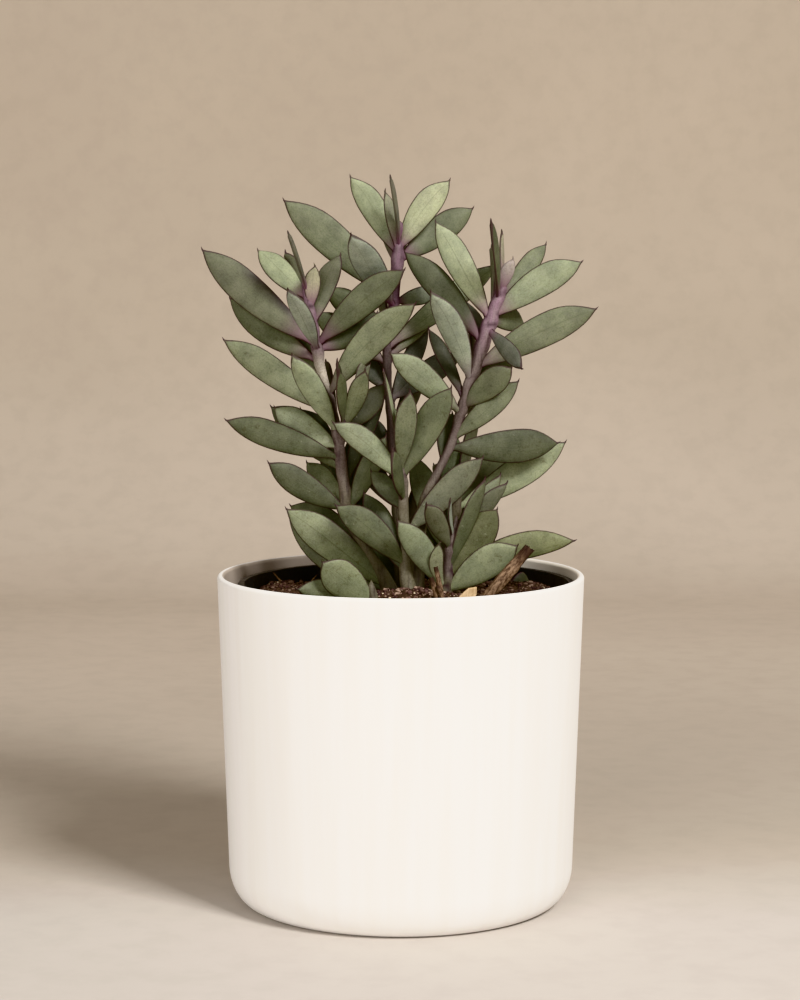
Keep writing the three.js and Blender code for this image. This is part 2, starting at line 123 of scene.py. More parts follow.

# Leaf colours, as linear red, green and blue. Some are partly painted light and shade: dark and black
# darken leaves that lie deep in the plant, and pale and the bloom tone lighten leaves that lie in shade
TONES = {
    "cream": (0.357, 0.369, 0.246),
    "young": (0.281, 0.302, 0.197),
    "pale": (0.318, 0.346, 0.234),
    "bloom": (0.301, 0.323, 0.264),
    "mist": (0.262, 0.281, 0.218),
    "light_moss": (0.234, 0.25, 0.158),
    "fresh": (0.217, 0.235, 0.156),
    "spring": (0.165, 0.172, 0.096),
    "green": (0.184, 0.195, 0.126),
    "sage": (0.153, 0.162, 0.107),
    "grey": (0.136, 0.137, 0.096),
    "leafy": (0.1, 0.102, 0.058),
    "moss": (0.113, 0.12, 0.076),
    "olive": (0.087, 0.092, 0.06),
    "shade": (0.128, 0.131, 0.108),
    "dark": (0.058, 0.058, 0.038),
    "black": (0.038, 0.039, 0.025),
    "stained": (0.132, 0.135, 0.093),
    "dusky": (0.248, 0.265, 0.169),
    "blush": (0.323, 0.301, 0.214),
    "petal": (0.379, 0.323, 0.3),
    "bud": (0.223, 0.221, 0.162),
    "reed": (0.14, 0.134, 0.104),
    "plum": (0.178, 0.114, 0.138),
}

# How dark the painted shade on the upper edge of a leaf of some tones is
PAINTED_EDGE_SHADE = {"stained": 0.95, "dusky": 0.6}

# How much fainter the dark margin of a leaf of some tones is
MARGIN_FADE = {"reed": 0.7, "petal": 0.5}

# Share of a leaf's length that the purple of its base reaches, for some tones and for the others
FLUSH = {"blush": 0.7, "petal": 0.75, "bud": 0.5, "plum": 0.95, "reed": 0.4}
LEAF_FLUSH = 0.32

# The stems of each node of the plant
PLANT = {}


def stem(node_name, path, shown, rear=()):
    """Note a stem, with its path as (x, y, z, radius) from the soil or its parent upwards.

    Each leaf that the photograph shows is (root height on the stem, tip x, tip y, tip z, width, facing,
    bow, tone). Facing is the compass turn of the blade's face: 0 looks to the front, 90 to the right.
    Bow lifts the middle of the midrib above the straight line from root to tip. Each rear leaf is (root
    height, direction), with 0 to the right and 90 to the back.
    """
    PLANT.setdefault(node_name, []).append((path, shown, rear))


stem("left_stem", [
    (-3.5, 0, 119, 3.2), (-8, 0, 127.5, 3), (-13.5, -1, 136.5, 2.6), (-19.5, -3, 147, 2.3),
    (-21.5, -4, 159, 2.1), (-22.5, -5, 172, 1.9), (-25.5, -6, 187.5, 1.9), (-29.5, -7, 202.5, 1.8),
    (-32, -8, 216, 1.7), (-34.5, -8, 231, 1.5), (-36, -8, 237, 1.2),
], [
    (214, -75, -6, 251, 12.8, 0, -1.2, "stained"),
    (231, -54.5, 4, 250.5, 9.5, 15, 0, "young"),
    (212, -41, -38, 236.5, 7.8, -15, 0.8, "bloom"),
    (224, -38.5, 12, 241, 7.5, 70, 0, "plum"),
    (234, -41.5, -30, 257, 6.5, 104, 0, "reed"),
    (227, -32.5, -12, 245, 6.2, 10, 0, "blush"),
    (221, -22.5, -4, 249, 9, -20, 1.6, "grey"),
    (208, -65.5, 6, 232.5, 10.5, 0, -2.2, "moss"),
    (188, -67.5, -4, 217, 10.8, 0, 0, "green"),
    (181, -40, -30, 212.5, 9.5, -10, 0, "pale"),
    (212, -8.5, 4, 227, 10.5, 10, -1.5, "olive"),
    (214, 2, -16, 243.5, 11.5, 0, 1, "moss"),
    (195, 6, -20, 231, 12, 0, 2.5, "green"),
    (175, -48.5, 2, 191, 11.5, 10, -1.5, "fresh"),
    (168, -38.6, 8, 190, 9, 10, 0, "black"),
    (171, -67, -6, 186.5, 10.6, 0, -0.3, "moss"),
    (151, -50.5, -10, 171, 10.5, 0, -1, "olive"),
    (153, -36.3, 6, 169.7, 8.5, 10, 0, "green"),
    (153, -30, 20, 171.5, 8, 20, 0, "olive"),
    (150, -5.5, 0, 180.5, 8.5, 0, 0, "moss"),
    (160, -6, 6, 200.5, 8, 10, 0.5, "black"),
    (121, -44, -6, 153, 13.6, 0, 0.1, "dusky"),
    (120, -43.5, 7, 151, 11, 0, -5, "sage"),
    (142, -18.6, 10, 181.4, 9.5, 10, 0, "olive"),
], rear=[(130, 150), (148, 110), (166, 155), (182, 100), (198, 140), (212, 95), (224, 125)])

stem("left_stem", [
    (-23, -5, 175, 1.6), (-21.5, -9, 184, 1.5), (-18.5, -11, 191.5, 1.4), (-15, -12, 197.5, 1.2),
], [
    (188, -23.5, -22, 210, 5.5, 70, 0, "dark"),
    (184, -22.5, -27, 206.5, 6, 40, 0, "moss"),
    (182, -13.5, -24, 206.5, 7.5, 10, -1, "green"),
    (194, -13.5, -11, 210.5, 4, 30, 0, "grey"),
    (194, -11.5, -9, 208.5, 4, 30, 0, "grey"),
    (182, -6.5, -1, 200.5, 8.5, 0, -2, "dark"),
])

stem("centre_stem", [
    (0.5, 12, 119, 3), (-0.5, 13, 137.5, 2.3), (-2, 13, 157, 1.8), (-3.5, 13, 176.5, 1.5),
    (-5, 13, 201.5, 1.4), (-5.5, 13, 211, 1.5), (-3, 12, 226.5, 1.6), (-2, 12, 236, 1.9),
    (-1.2, 12, 245, 2), (-0.5, 12, 253, 1.2),
], [
    (217, -29.5, 16, 236, 10, 10, 0, "moss"),
    (231, -45, 8, 269.5, 13.5, 0, 0.6, "sage"),
    (228, -18.2, -26, 256.4, 11.5, -10, -0.3, "bloom"),
    (247, -19.5, 14, 278.5, 10, 0, 1.2, "young"),
    (248, -5.7, 5, 273, 5.2, 20, 0, "bud"),
    (251, -4, -10, 277.8, 6, 86, 0, "reed"),
    (252, -1, 10, 262.5, 4, 20, 0, "plum"),
    (249, 19, 8, 277, 10.5, 0, 1.4, "cream"),
    (245, 28.5, 24, 266.5, 11, 10, 0, "sage"),
    (212, 38, 22, 245, 10, 10, 0, "pale"),
    (229.5, 15, 22, 233.5, 7, 10, 0, "mist"),
    (195, -19, 24, 212.5, 8.5, 10, 0, "shade"),
    (208, 18.5, 22, 238.5, 6.5, 5, -3, "fresh"),
    (190, 10.5, 22.5, 220.5, 7.5, 10, 0, "shade"),
    (192, 24, 24, 210.5, 10, 0, 0, "shade"),
    (206, -34, 18, 226.5, 10.5, 10, 0, "green"),
    (163, -16.5, 24, 187, 12, 10, 0, "shade"),
    (138, -23, 22, 152, 15, 10, 0, "olive"),
    (121, -14, 20, 136, 10, 10, 0, "olive"),
], rear=[
    (128, 110), (136, 75), (150, 125), (163, 80), (178, 62), (190, 115), (204, 70), (218, 105),
    (232, 75), (243, 120),
])

stem("right_stem", [
    (6, -1, 119.5, 3), (7, -2, 135.5, 2.6), (9, -3, 155, 2.1), (13.5, -3, 164.5, 1.8),
    (17.5, -3, 173, 1.6), (21, -3, 182.5, 1.7), (24, -3, 192, 1.9), (26.5, -3, 200.5, 2.2),
    (30, -3, 211, 2.7), (32.8, -3, 220, 2.6), (36, -3, 229.5, 2.1), (38.5, -3, 235.5, 1.5),
], [
    (223, 13, -2, 261.5, 10.5, 0, 0, "young"),
    (216, 23.5, 15.5, 230, 9, 30, 0, "shade"),
    (231, 33, -28, 261.5, 7.5, 74, 0, "moss"),
    (234, 39, 26, 257.5, 5.5, 64, 0, "blush"),
    (233, 42, -8, 247.5, 5.6, 20, 0, "petal"),
    (214, 1, 3, 250, 10.5, 0, 1.5, "olive"),
    (200, 11, -24, 235.5, 10, -10, 1.6, "mist"),
    (231, 55.5, 8, 253, 7.5, 0, -0.8, "green"),
    (224, 69, -3, 246, 11.5, 0, 1.6, "fresh"),
    (205, 74.5, -6, 228.5, 12.5, 0, 1.2, "sage"),
    (220, 45, -36, 206.5, 6.6, -10, 0, "shade"),
    (222, 48, 12, 220.5, 9, 10, 2, "sage"),
    (190, 42, -14, 207, 10.5, 0, 0, "sage"),
    (178, 45, -4, 201.5, 9, 0, -0.4, "sage"),
    (188, -4.5, -14, 212.5, 10.5, 0, 0.6, "fresh"),
    (193, 10.5, 2, 221, 6, 20, 0, "black"),
    (169, 19.5, 8, 188.5, 9, 20, 0, "olive"),
    (175, 61.5, 8, 176.5, 13, 0, -0.9, "olive"),
], rear=[(170, 88), (186, 35), (200, 85), (214, 50), (226, 90)])

stem("back_stem", [
    (13.5, 12, 119.5, 2.6), (17.5, 12, 134, 2.3), (20.5, 11, 147.5, 2.1), (22.5, 10, 161.5, 1.6),
], [
    (150, 64.5, 18, 176.5, 12.5, 0, -1, "young"),
    (132, 5, 22, 171.5, 11, 10, 0, "green"),
    (146, 20, 24, 180, 10, 10, 0, "fresh"),
    (124, 8, 24, 150, 9, 10, 0, "olive"),
], rear=[(130, 60), (142, 100), (152, 45), (158, 75)])

stem("front_stem", [
    (3, -14, 120.5, 3), (2, -14, 133.5, 2.1), (1.4, -14, 147.5, 1.9), (0.8, -14, 160, 1.8),
    (-0.5, -14, 170.5, 1.6), (-1, -14, 175.5, 1.2),
], [
    (167, 3, -28, 199, 8.5, 10, 0, "sage"),
    (164, 19, -18, 200, 11.5, 0, 0.5, "moss"),
    (163, -26, -18, 186.5, 9.5, 0, 2.1, "fresh"),
    (173, -6.5, -28, 206.5, 4, 75, 0, "fresh"),
    (156, -3, -30, 177.5, 8.5, 60, -1, "moss"),
    (174, -2.5, -14, 193, 3.5, 30, 0, "moss"),
    (152, -11.5, -6, 167.5, 7.5, 10, 0, "olive"),
    (143, 31.5, -10, 173, 10.5, 0, 0, "grey"),
    (131, -25, -18, 155.5, 11.5, 0, 1.6, "moss"),
    (127, -14, -8, 159.5, 10, 15, 0, "olive"),
])

stem("low_shoot", [
    (-9.5, -24, 117.5, 2.2), (-10, -25, 119.5, 2), (-11, -26, 125, 1.3),
], [
    (120.5, -39.7, -30, 125.2, 9, 10, 0, "green"),
    (119, -29.3, -35, 136.5, 14, 0, -1.2, "light_moss"),
])

stem("right_shoot", [
    (17, -13, 121, 2.4), (17.5, -14, 131.5, 1.9), (19, -15, 140, 1.6), (21, -15, 148, 1.2),
], [
    (122, -1.5, -27, 151, 10.5, 0, 0.5, "fresh"),
    (122, 15.5, -26, 142.3, 5.6, 0, -3, "cream"),
    (138, 9.5, -32, 157.5, 7.8, 10, 0, "grey"),
    (143, 18.5, -28, 158.5, 4.5, 72, 0, "bloom"),
    (128, 31.5, -19, 166, 7, 30, 0, "moss"),
    (131, 38, -4, 166, 8.5, 20, 0, "sage"),
    (138, 40.5, -11, 163.5, 7.5, 30, 0, "grey"),
    (126, 36.5, -15, 154, 13.5, -10, 0, "leafy"),
    (121, 44, -28, 141.5, 12.5, 0, 0.5, "young"),
    (127, 67, -8, 140.5, 10.5, 0, 3.4, "spring"),
])

# Rear leaves shorten, narrow and steepen from the soil to the top of the tallest stem: root height,
# length, width and rise in degrees
REAR_LOW = (128, 45, 15, 28)
REAR_HIGH = (245, 29, 9, 60)
REAR_BOW = 1
# Rear leaves take dark tones, partly painted shade for the depth of the plant; those above REAR_TOP_FROM
# take a lighter one
REAR_TONES = ["olive", "moss", "dark"]
REAR_TOP_TONE = "grey"
REAR_TOP_FROM = 215

# Heights over which leaves turn young, stems turn old, and the painted light and shade and the youth of
# some stems set in
BLUSH_HEIGHTS = (165, 235)
AGE_HEIGHTS = (245, 130)
LIGHT_HEIGHTS = (245, 234)
YOUTH_HEIGHTS = (123, 134)

# Stems darkened lower down by painted shade (below 1) and lightened by painted light (above 1), stems
# that are younger, and the bare, bleached stretch of one
STEM_PAINTED_LIGHT = {"centre_stem": 0.75, "right_stem": 1.15}
STEM_YOUTH = {"right_shoot": 0.5}
BARE_STRETCH = {"left_stem": (194, 212)}
BARE_MOST = 0.85

# Camera: the view of the photograph, 800 by 1000 pixels
CAMERA_PLACE = (-0.00027, -0.985, 0.2565)
CAMERA_TILT = 5.907
CAMERA_LENS = 93.49
CAMERA_SENSOR = 36


def smoothstep(low, high, value):
    share = np.clip((value - low) / (high - low), 0, 1)
    return share * share * (3 - 2 * share)


def unit(vector):
    return vector / np.linalg.norm(vector)


def round_angles(count):
    return np.linspace(0, 2 * math.pi, count, endpoint=False)


def new_object(name, data):
    made = bpy.data.objects.new(name, data)
    bpy.context.scene.collection.objects.link(made)
    return made


class Shape:
    """The points, faces and per-point values of one mesh, gathered part by part."""

    def __init__(self):
        self.points = []
        self.faces = []
        self.values = {}
        self.count = 0

    def add(self, points, faces, **values):
        self.points.append(np.asarray(points, float))
        self.faces.extend([[k + self.count for k in face] for face in faces])
        for name, value in values.items():
            full = np.broadcast_to(np.asarray(value, float), (len(points), 3))
            self.values.setdefault(name, []).append(full)
        self.count += len(points)
        return self

    def build(self, name, material, smooth=True, shift=0):
        mesh = bpy.data.meshes.new(name)
        mesh.from_pydata((np.concatenate(self.points) * MM).tolist(), [], self.faces)
        for key, parts in self.values.items():
            attribute = mesh.attributes.new(key, "FLOAT_VECTOR", "POINT")
            attribute.data.foreach_set("vector", np.concatenate(parts).astype(np.float32).ravel())
        mesh.polygons.foreach_set("use_smooth", [smooth] * len(mesh.polygons))
        mesh.materials.append(material)
        mesh.validate()
        piece = new_object(name, mesh)
        piece.location.x = shift * MM
        return piece


def ring_quads(first, rings, sides):
    """Quads between rings of points, numbered from first."""
    faces = []
    for i in range(rings - 1):
        for j in range(sides):
            a = first + i * sides + j
            b = first + i * sides + (j + 1) % sides
            faces.append((a, b, b + sides, a + sides))
    return faces


def tube_faces(stations, sides, apex):
    """Faces through rings of points, the last of which is closed or brought to an apex."""
    faces = ring_quads(0, stations, sides)
    faces.append(tuple(range(sides - 1, -1, -1)))
    last = (stations - 1) * sides
    if apex:
        faces.extend((last + j, last + (j + 1) % sides, last + sides) for j in range(sides))
    else:
        faces.append(tuple(range(last, last + sides)))
    return faces


def turned_faces(rings, sides):
    """Faces round the axis through rings of points, closed on a first and a last point."""
    faces = ring_quads(1, rings, sides)
    last = 1 + rings * sides
    for j in range(sides):
        faces.append((0, 1 + (j + 1) % sides, 1 + j))
        faces.append((last, last - sides + j, last - sides + (j + 1) % sides))
    return faces


def turned(profile, sides):
    """Points and faces of a solid turned about the axis. Its profile starts and ends there."""
    angles = round_angles(sides)
    points = [(0, 0, profile[0][1])]
    for radius, height in profile[1:-1]:
        points.extend((radius * math.cos(a), radius * math.sin(a), height) for a in angles)
    points.append((0, 0, profile[-1][1]))
    return points, turned_faces(len(profile) - 2, sides)


def quarter_arc(start, radius, rise, steps):
    """Points of a quarter of an ellipse that leaves its start level and ends upright."""
    angles = [i / steps * math.pi / 2 for i in range(steps + 1)]
    return [(start[0] + radius * math.sin(a), start[1] + rise * (1 - math.cos(a))) for a in angles]


def ring_directions(angle):
    return np.stack([np.cos(angle), np.sin(angle), np.zeros(len(angle))], axis=1)


# Nodes

def put(tree, socket, value):
    """Connect an output to a socket, or set the socket's own value."""
    if isinstance(value, bpy.types.NodeSocket):
        tree.links.new(value, socket)
    else:
        socket.default_value = value


def feed(tree, made, **inputs):
    """Fill a node's inputs, each named as its socket is, with _ for a space."""
    for name, value in inputs.items():
        put(tree, made.inputs[name.replace("_", " ")], value)


def node(tree, kind, settings=None, **inputs):
    made = tree.nodes.new(kind)
    for name, value in (settings or {}).items():
        setattr(made, name, value)
    feed(tree, made, **inputs)
    return made


def rgba(colour):
    return (*colour, 1)


def mix(tree, share, first, second, blend="MIX"):
    made = node(tree, "ShaderNodeMix", {"data_type": "RGBA", "blend_type": blend}, Factor=share)
    put(tree, made.inputs[6], first)
    put(tree, made.inputs[7], second)
    return made.outputs[2]


def calculate(tree, operation, *values):
    made = node(tree, "ShaderNodeMath", {"operation": operation})
    for index, value in enumerate(values):
        put(tree, made.inputs[index], value)
    return made.outputs[0]


def product(tree, first, *others):
    for other in others:
        first = calculate(tree, "MULTIPLY", first, other)
    return first


def between(tree, value, low, high, start=0.0, end=1.0):
    """Start below low, end above high, and a smooth step from one to the other."""
    made = node(tree, "ShaderNodeMapRange", {"interpolation_type": "SMOOTHSTEP"},
                Value=value, From_Min=low, From_Max=high, To_Min=start, To_Max=end)
    return made.outputs["Result"]


def layer(tree, colour, field, low, high, most, tint, blend="MIX"):
    """Lay a tint over a colour: none where the field is below low, and most of it above high."""
    return mix(tree, between(tree, field, low, high, 0, most), colour, rgba(tint), blend)


def noise_at(tree, place, scale, detail=2.0, roughness=0.5):
    made = node(tree, "ShaderNodeTexNoise",
                Vector=place, Scale=scale, Detail=detail, Roughness=roughness)
    return made.outputs["Fac"]


def bump(tree, height, distance, strength=1.0, under=None):
    made = node(tree, "ShaderNodeBump", Height=height, Distance=distance, Strength=strength)
    if under is not None:
        put(tree, made.inputs["Normal"], under)
    return made.outputs["Normal"]


def three_parts(tree, vector):
    parts = node(tree, "ShaderNodeSeparateXYZ", Vector=vector)
    return [parts.outputs[name] for name in "XYZ"]


def attribute(tree, name):
    """A per-point value as a vector, and its three parts."""
    vector = node(tree, "ShaderNodeAttribute", {"attribute_name": name}).outputs["Vector"]
    return vector, *three_parts(tree, vector)


def stretched(tree, vector, scale):
    made = node(tree, "ShaderNodeVectorMath", {"operation": "MULTIPLY"})
    put(tree, made.inputs[0], vector)
    put(tree, made.inputs[1], scale)
    return made.outputs["Vector"]


def new_material(name):
    """A material with its node tree, shader and object coordinates."""
    material = bpy.data.materials.new(name)
    material.use_nodes = True
    tree = material.node_tree
    shader = tree.nodes["Principled BSDF"]
    place = node(tree, "ShaderNodeTexCoord").outputs["Object"]
    return material, tree, shader, place


# Materials. A noise is (scale, detail, roughness). A layer is (low and high end of its field, the most
# that it covers, tint). All colours are linear.

LEAF_NOISES = {
    "clouds": (140, 3, 0.55),
    "patches": (75, 2),
    "grain": (1700, 2, 0.7),
    "spots": (700, 2, 0.7),
    "blemish": (330, 4, 0.75),
    "scuff": (520, 3, 0.7),
    "stain": (130, 3),
}
LEAF_STREAK_STRETCH = (9, 1.6, 13)
LEAF_STREAK_NOISE = (2.2, 3)
LEAF_CLOUDS = ((0.32, 0.7), (1.115, 1.115, 1.08), (0.825, 0.835, 0.825))
LEAF_LAYERS = {
    "patches": (0.48, 0.72, 0.3, (0.8, 0.74, 0.84)),
    "streaks": (0.42, 0.72, 0.22, (0.6, 0.64, 0.52)),
    "grain": (0.42, 0.66, 0.55, (0.66, 0.67, 0.64)),
    "spots": (0.65, 0.74, 0.45, (0.5, 0.45, 0.4)),
}
# One of these tints, for the upper edge of a few leaves, is painted shade
LEAF_TINTS = {
    "blemish": (0.5, 0.45, 0.38),
    "scuff": (0.33, 0.33, 0.25),
    "stain": (0.03, 0.022, 0.02),
    "spine": (0.05, 0.052, 0.026),
    "flush": (0.185, 0.098, 0.135),
    "margin": (0.055, 0.032, 0.034),
    "tip": (0.05, 0.028, 0.03),
}
SPINE_MOST = 0.28
MARGIN_MOST = 0.88
TIP_MOST = 0.9


def leaf_material():
    material, tree, shader, place = new_material("leaf_skin")
    tone = attribute(tree, "tone")[0]
    _, side, along, rim = attribute(tree, "blade")
    _, blush, rib, seed = attribute(tree, "traits")
    # Per leaf: how dark the painted shade on its upper edge is, how far its purple base reaches, how
    # faint its margin is
    _, stain, flush, fade = attribute(tree, "marks")
    fields = {name: noise_at(tree, place, *numbers) for name, numbers in LEAF_NOISES.items()}
    blade_place = node(tree, "ShaderNodeCombineXYZ", X=side, Y=along, Z=seed).outputs["Vector"]
    streak_place = stretched(tree, blade_place, LEAF_STREAK_STRETCH)
    fields["streaks"] = noise_at(tree, streak_place, *LEAF_STREAK_NOISE)

    def tinted(share, name, blend="MIX"):
        return mix(tree, share, colour, rgba(LEAF_TINTS[name]), blend)

    # Mottling
    ends, light, shade = LEAF_CLOUDS
    colour = mix(tree, between(tree, fields["clouds"], *ends),
                 stretched(tree, tone, light), stretched(tree, tone, shade))
    for name, numbers in LEAF_LAYERS.items():
        colour = layer(tree, colour, fields[name], *numbers, "MULTIPLY")

    # Blemishes and scuffs, fewer on young leaves
    worn = between(tree, blush, 0.1, 0.9, 1, 0.25)
    blemish = between(tree, fields["blemish"], 0.54, 0.7, 0, 0.6)
    colour = tinted(product(tree, blemish, worn), "blemish", "MULTIPLY")
    scuff = between(tree, fields["scuff"], 0.64, 0.74, 0, 0.3)
    colour = tinted(product(tree, scuff, worn), "scuff")

    # Painted shade along the upper edge of a few leaves, dark and uneven
    upper = between(tree, side, 0.05, 0.95)
    before_tip = between(tree, along, 0.8, 0.6)
    past_root = between(tree, along, 0.05, 0.22)
    uneven = between(tree, fields["stain"], 0.3, 0.6, 0.6, 1)
    colour = tinted(product(tree, upper, before_tip, past_root, uneven, stain), "stain")

    # Midrib, purple base, dark margin and dark point
    middle = between(tree, calculate(tree, "ABSOLUTE", side), 0.012, 0.05, 1, 0)
    spine = product(tree, middle, between(tree, rib, 0.4, 0.85))
    colour = tinted(product(tree, spine, SPINE_MOST), "spine")
    colour = tinted(product(tree, between(tree, along, 0.02, flush, 1, 0), blush), "flush")
    rim_reach = calculate(tree, "ADD", between(tree, fields["spots"], 0.3, 0.8, 0.42, 0.75),
                          between(tree, along, 0.84, 0.98, 0, 0.6))
    rim_share = calculate(tree, "SUBTRACT", 1, between(tree, rim, 0.16, rim_reach))
    margin_most = calculate(tree, "SUBTRACT", MARGIN_MOST, fade)
    colour = tinted(product(tree, rim_share, margin_most), "margin")
    colour = tinted(product(tree, between(tree, along, 0.95, 0.985), TIP_MOST), "tip")

    skin = bump(tree, fields["grain"], 0.00006, 0.6)
    veins = bump(tree, fields["streaks"], 0.0002, 0.4, skin)
    feed(tree, shader, Base_Color=colour, Specular_IOR_Level=0.25,
         Roughness=between(tree, fields["clouds"], 0.3, 0.7, 0.54, 0.68),
         Subsurface_Weight=0.1, Subsurface_Radius=(0.5, 0.8, 0.2), Subsurface_Scale=0.0015,
         Normal=bump(tree, spine, 0.0002, -0.5, veins))
    return material


STEM_YOUNG = (0.205, 0.132, 0.163)
STEM_MIDDLE = (0.136, 0.107, 0.099)
STEM_OLD = (0.142, 0.128, 0.088)
STEM_BARE = (0.58, 0.52, 0.42)
# The colour of the painted shade in the crease above each leaf's root
STEM_CREASE_SHADE = (0.035, 0.017, 0.022)
STEM_STREAK_STRETCH = (1, 1, 0.16)
STEM_PALE_STREAKS = (0.45, 0.7, 0.3, (0.2, 0.18, 0.15))
STEM_DARK_STREAKS = (0.5, 0.7, 0.6, (0.045, 0.03, 0.034))
STEM_GRAIN = (0.42, 0.66, 0.6, (0.6, 0.58, 0.56))


def stem_material():
    material, tree, shader, place = new_material("stem_skin")
    _, age, crease_shade, light = attribute(tree, "stem")
    bare = attribute(tree, "bare")[1]
    streak_place = stretched(tree, place, STEM_STREAK_STRETCH)
    pale = noise_at(tree, streak_place, 900, 3)
    dark = noise_at(tree, streak_place, 420, 2)
    grain = noise_at(tree, place, 1500, 2, 0.7)
    colour = layer(tree, rgba(STEM_YOUNG), age, 0.06, 0.28, 1, STEM_MIDDLE)
    colour = layer(tree, colour, age, 0.7, 0.97, 1, STEM_OLD)
    colour = mix(tree, bare, colour, rgba(STEM_BARE))
    colour = layer(tree, colour, pale, *STEM_PALE_STREAKS)
    colour = layer(tree, colour, dark, *STEM_DARK_STREAKS)
    colour = layer(tree, colour, grain, *STEM_GRAIN, "MULTIPLY")
    # Painted shade in the crease just above each leaf's root
    colour = mix(tree, product(tree, crease_shade, 0.85), colour, rgba(STEM_CREASE_SHADE))
    # Painted light and shade: the colour scaled by each stem's painted light, below its top
    lit = node(tree, "ShaderNodeVectorMath", {"operation": "SCALE"}, Scale=light)
    put(tree, lit.inputs[0], colour)
    feed(tree, shader, Base_Color=lit.outputs["Vector"], Specular_IOR_Level=0.25,
         Roughness=between(tree, pale, 0.3, 0.7, 0.55, 0.72), Normal=bump(tree, pale, 0.0004, 0.5))
    return material


GLAZE_LIGHT = (0.88, 0.866, 0.846)
GLAZE_DARK = (0.85, 0.828, 0.796)

# Inside its rim the pot has painted shade, dark and warm at the left, and painted warm bounce light at
# the
# right: the radii and heights where that sets in, and its tints at the left and right
INSIDE_RADII = (0.0678, 0.0685)
INSIDE_HEIGHTS = (0.1, 0.104)
INSIDE_LEFT = (0.45, 0.38, 0.32)
INSIDE_RIGHT = (0.92, 0.85, 0.74)
INSIDE_REACH = 0.05


def ceramic_material():
    material, tree, shader, place = new_material("white_ceramic")
    x, y, z = three_parts(tree, place)
    radius = calculate(tree, "SQRT", calculate(tree, "ADD", product(tree, x, x), product(tree, y, y)))
    brushed = noise_at(tree, stretched(tree, place, (1, 1, 0.05)), 160, 3)
    fine = noise_at(tree, place, 900, 2)
    glaze = layer(tree, rgba(GLAZE_LIGHT), brushed, 0.3, 0.75, 1, GLAZE_DARK)
    # Painted shade inside the rim, dark at the left, and painted warm bounce light at the right
    painted_inner_shade = layer(tree, rgba(INSIDE_LEFT), x, -INSIDE_REACH, INSIDE_REACH, 1, INSIDE_RIGHT)
    within = between(tree, radius, *INSIDE_RADII, 1, 0)
    inside = product(tree, within, between(tree, z, *INSIDE_HEIGHTS))
    grain = bump(tree, fine, 0.00003, 0.4)
    feed(tree, shader, Base_Color=mix(tree, inside, glaze, painted_inner_shade),
         Roughness=between(tree, brushed, 0.3, 0.7, 0.42, 0.52),
         Specular_IOR_Level=0.4, Normal=bump(tree, brushed, 0.00006, 0.4, grain))
    return material


PLASTIC_BLACK = (0.011, 0.011, 0.011)
PLASTIC_DUST = (0.55, 0.8, 0.5, (0.05, 0.047, 0.044))


def plastic_material():
    material, tree, shader, place = new_material("black_plastic")
    fine = noise_at(tree, place, 1400, 2)
    dust = noise_at(tree, place, 260, 4, 0.65)
    feed(tree, shader, Base_Color=layer(tree, rgba(PLASTIC_BLACK), dust, *PLASTIC_DUST),
         Roughness=between(tree, dust, 0.4, 0.7, 0.45, 0.7), Normal=bump(tree, fine, 0.00003, 0.5))
    return material


SOIL_DARK = (0.35, 0.7, 0.7, (0.02, 0.013, 0.012))
SOIL_PALE = (0.55, 0.72, 0.38, (0.27, 0.195, 0.15))


def soil_material():
    material, tree, shader, place = new_material("potting_soil")
    tone = attribute(tree, "tone")[0]
    coarse = noise_at(tree, place, 350, 4, 0.7)
    fine = noise_at(tree, place, 1600, 3, 0.7)
    colour = layer(tree, layer(tree, tone, coarse, *SOIL_DARK), fine, *SOIL_PALE)
    rough = bump(tree, coarse, 0.0012, 0.8)
    feed(tree, shader, Base_Color=colour, Roughness=between(tree, fine, 0.3, 0.7, 0.85, 0.98),
         Specular_IOR_Level=0.15, Normal=bump(tree, fine, 0.0003, 0.8, rough))
    return material


# Each wood is (light, dark, noise scale, stretch along the grain)
BARK_WOOD = ((0.265, 0.178, 0.116), (0.07, 0.042, 0.03), 620, 0.75)
PALE_WOOD = ((0.75, 0.55, 0.34), (0.52, 0.36, 0.2), 900, 0.12)
WOOD_FLECK_SCALE = 0.6
WOOD_FLECK_LIGHT = 1.4
WOOD_END = (0.76, 0.93, 0.85, (0.026, 0.014, 0.013))


def wood_material(name, light, dark, scale, stretch):
    """Split wood or bark, with its grain along each piece and a darker broken end."""
    material, tree, shader, _ = new_material(name)
    grain_place = attribute(tree, "grain")[0]
    wear = attribute(tree, "wear")[1]
    lines = noise_at(tree, stretched(tree, grain_place, (1, 1, stretch)), scale, 4, 0.65)
    flecks = noise_at(tree, grain_place, scale * WOOD_FLECK_SCALE, 3, 0.6)
    colour = layer(tree, rgba(light), lines, 0.35, 0.65, 1, dark)
    colour = layer(tree, colour, flecks, 0.55, 0.75, 0.5, [part * WOOD_FLECK_LIGHT for part in light])
    colour = layer(tree, colour, wear, *WOOD_END)
    feed(tree, shader, Base_Color=colour, Roughness=between(tree, flecks, 0.3, 0.7, 0.75, 0.92),
         Specular_IOR_Level=0.2, Normal=bump(tree, lines, 0.0006, 0.7))
    return material


FLOOR_FRONT = (0.575, 0.528, 0.483)
FLOOR_MIDDLE = (0.5, 0.437, 0.367)
FLOOR_REAR = (0.635, 0.552, 0.465)
WALL_TINT = (0.538, 0.458, 0.372)


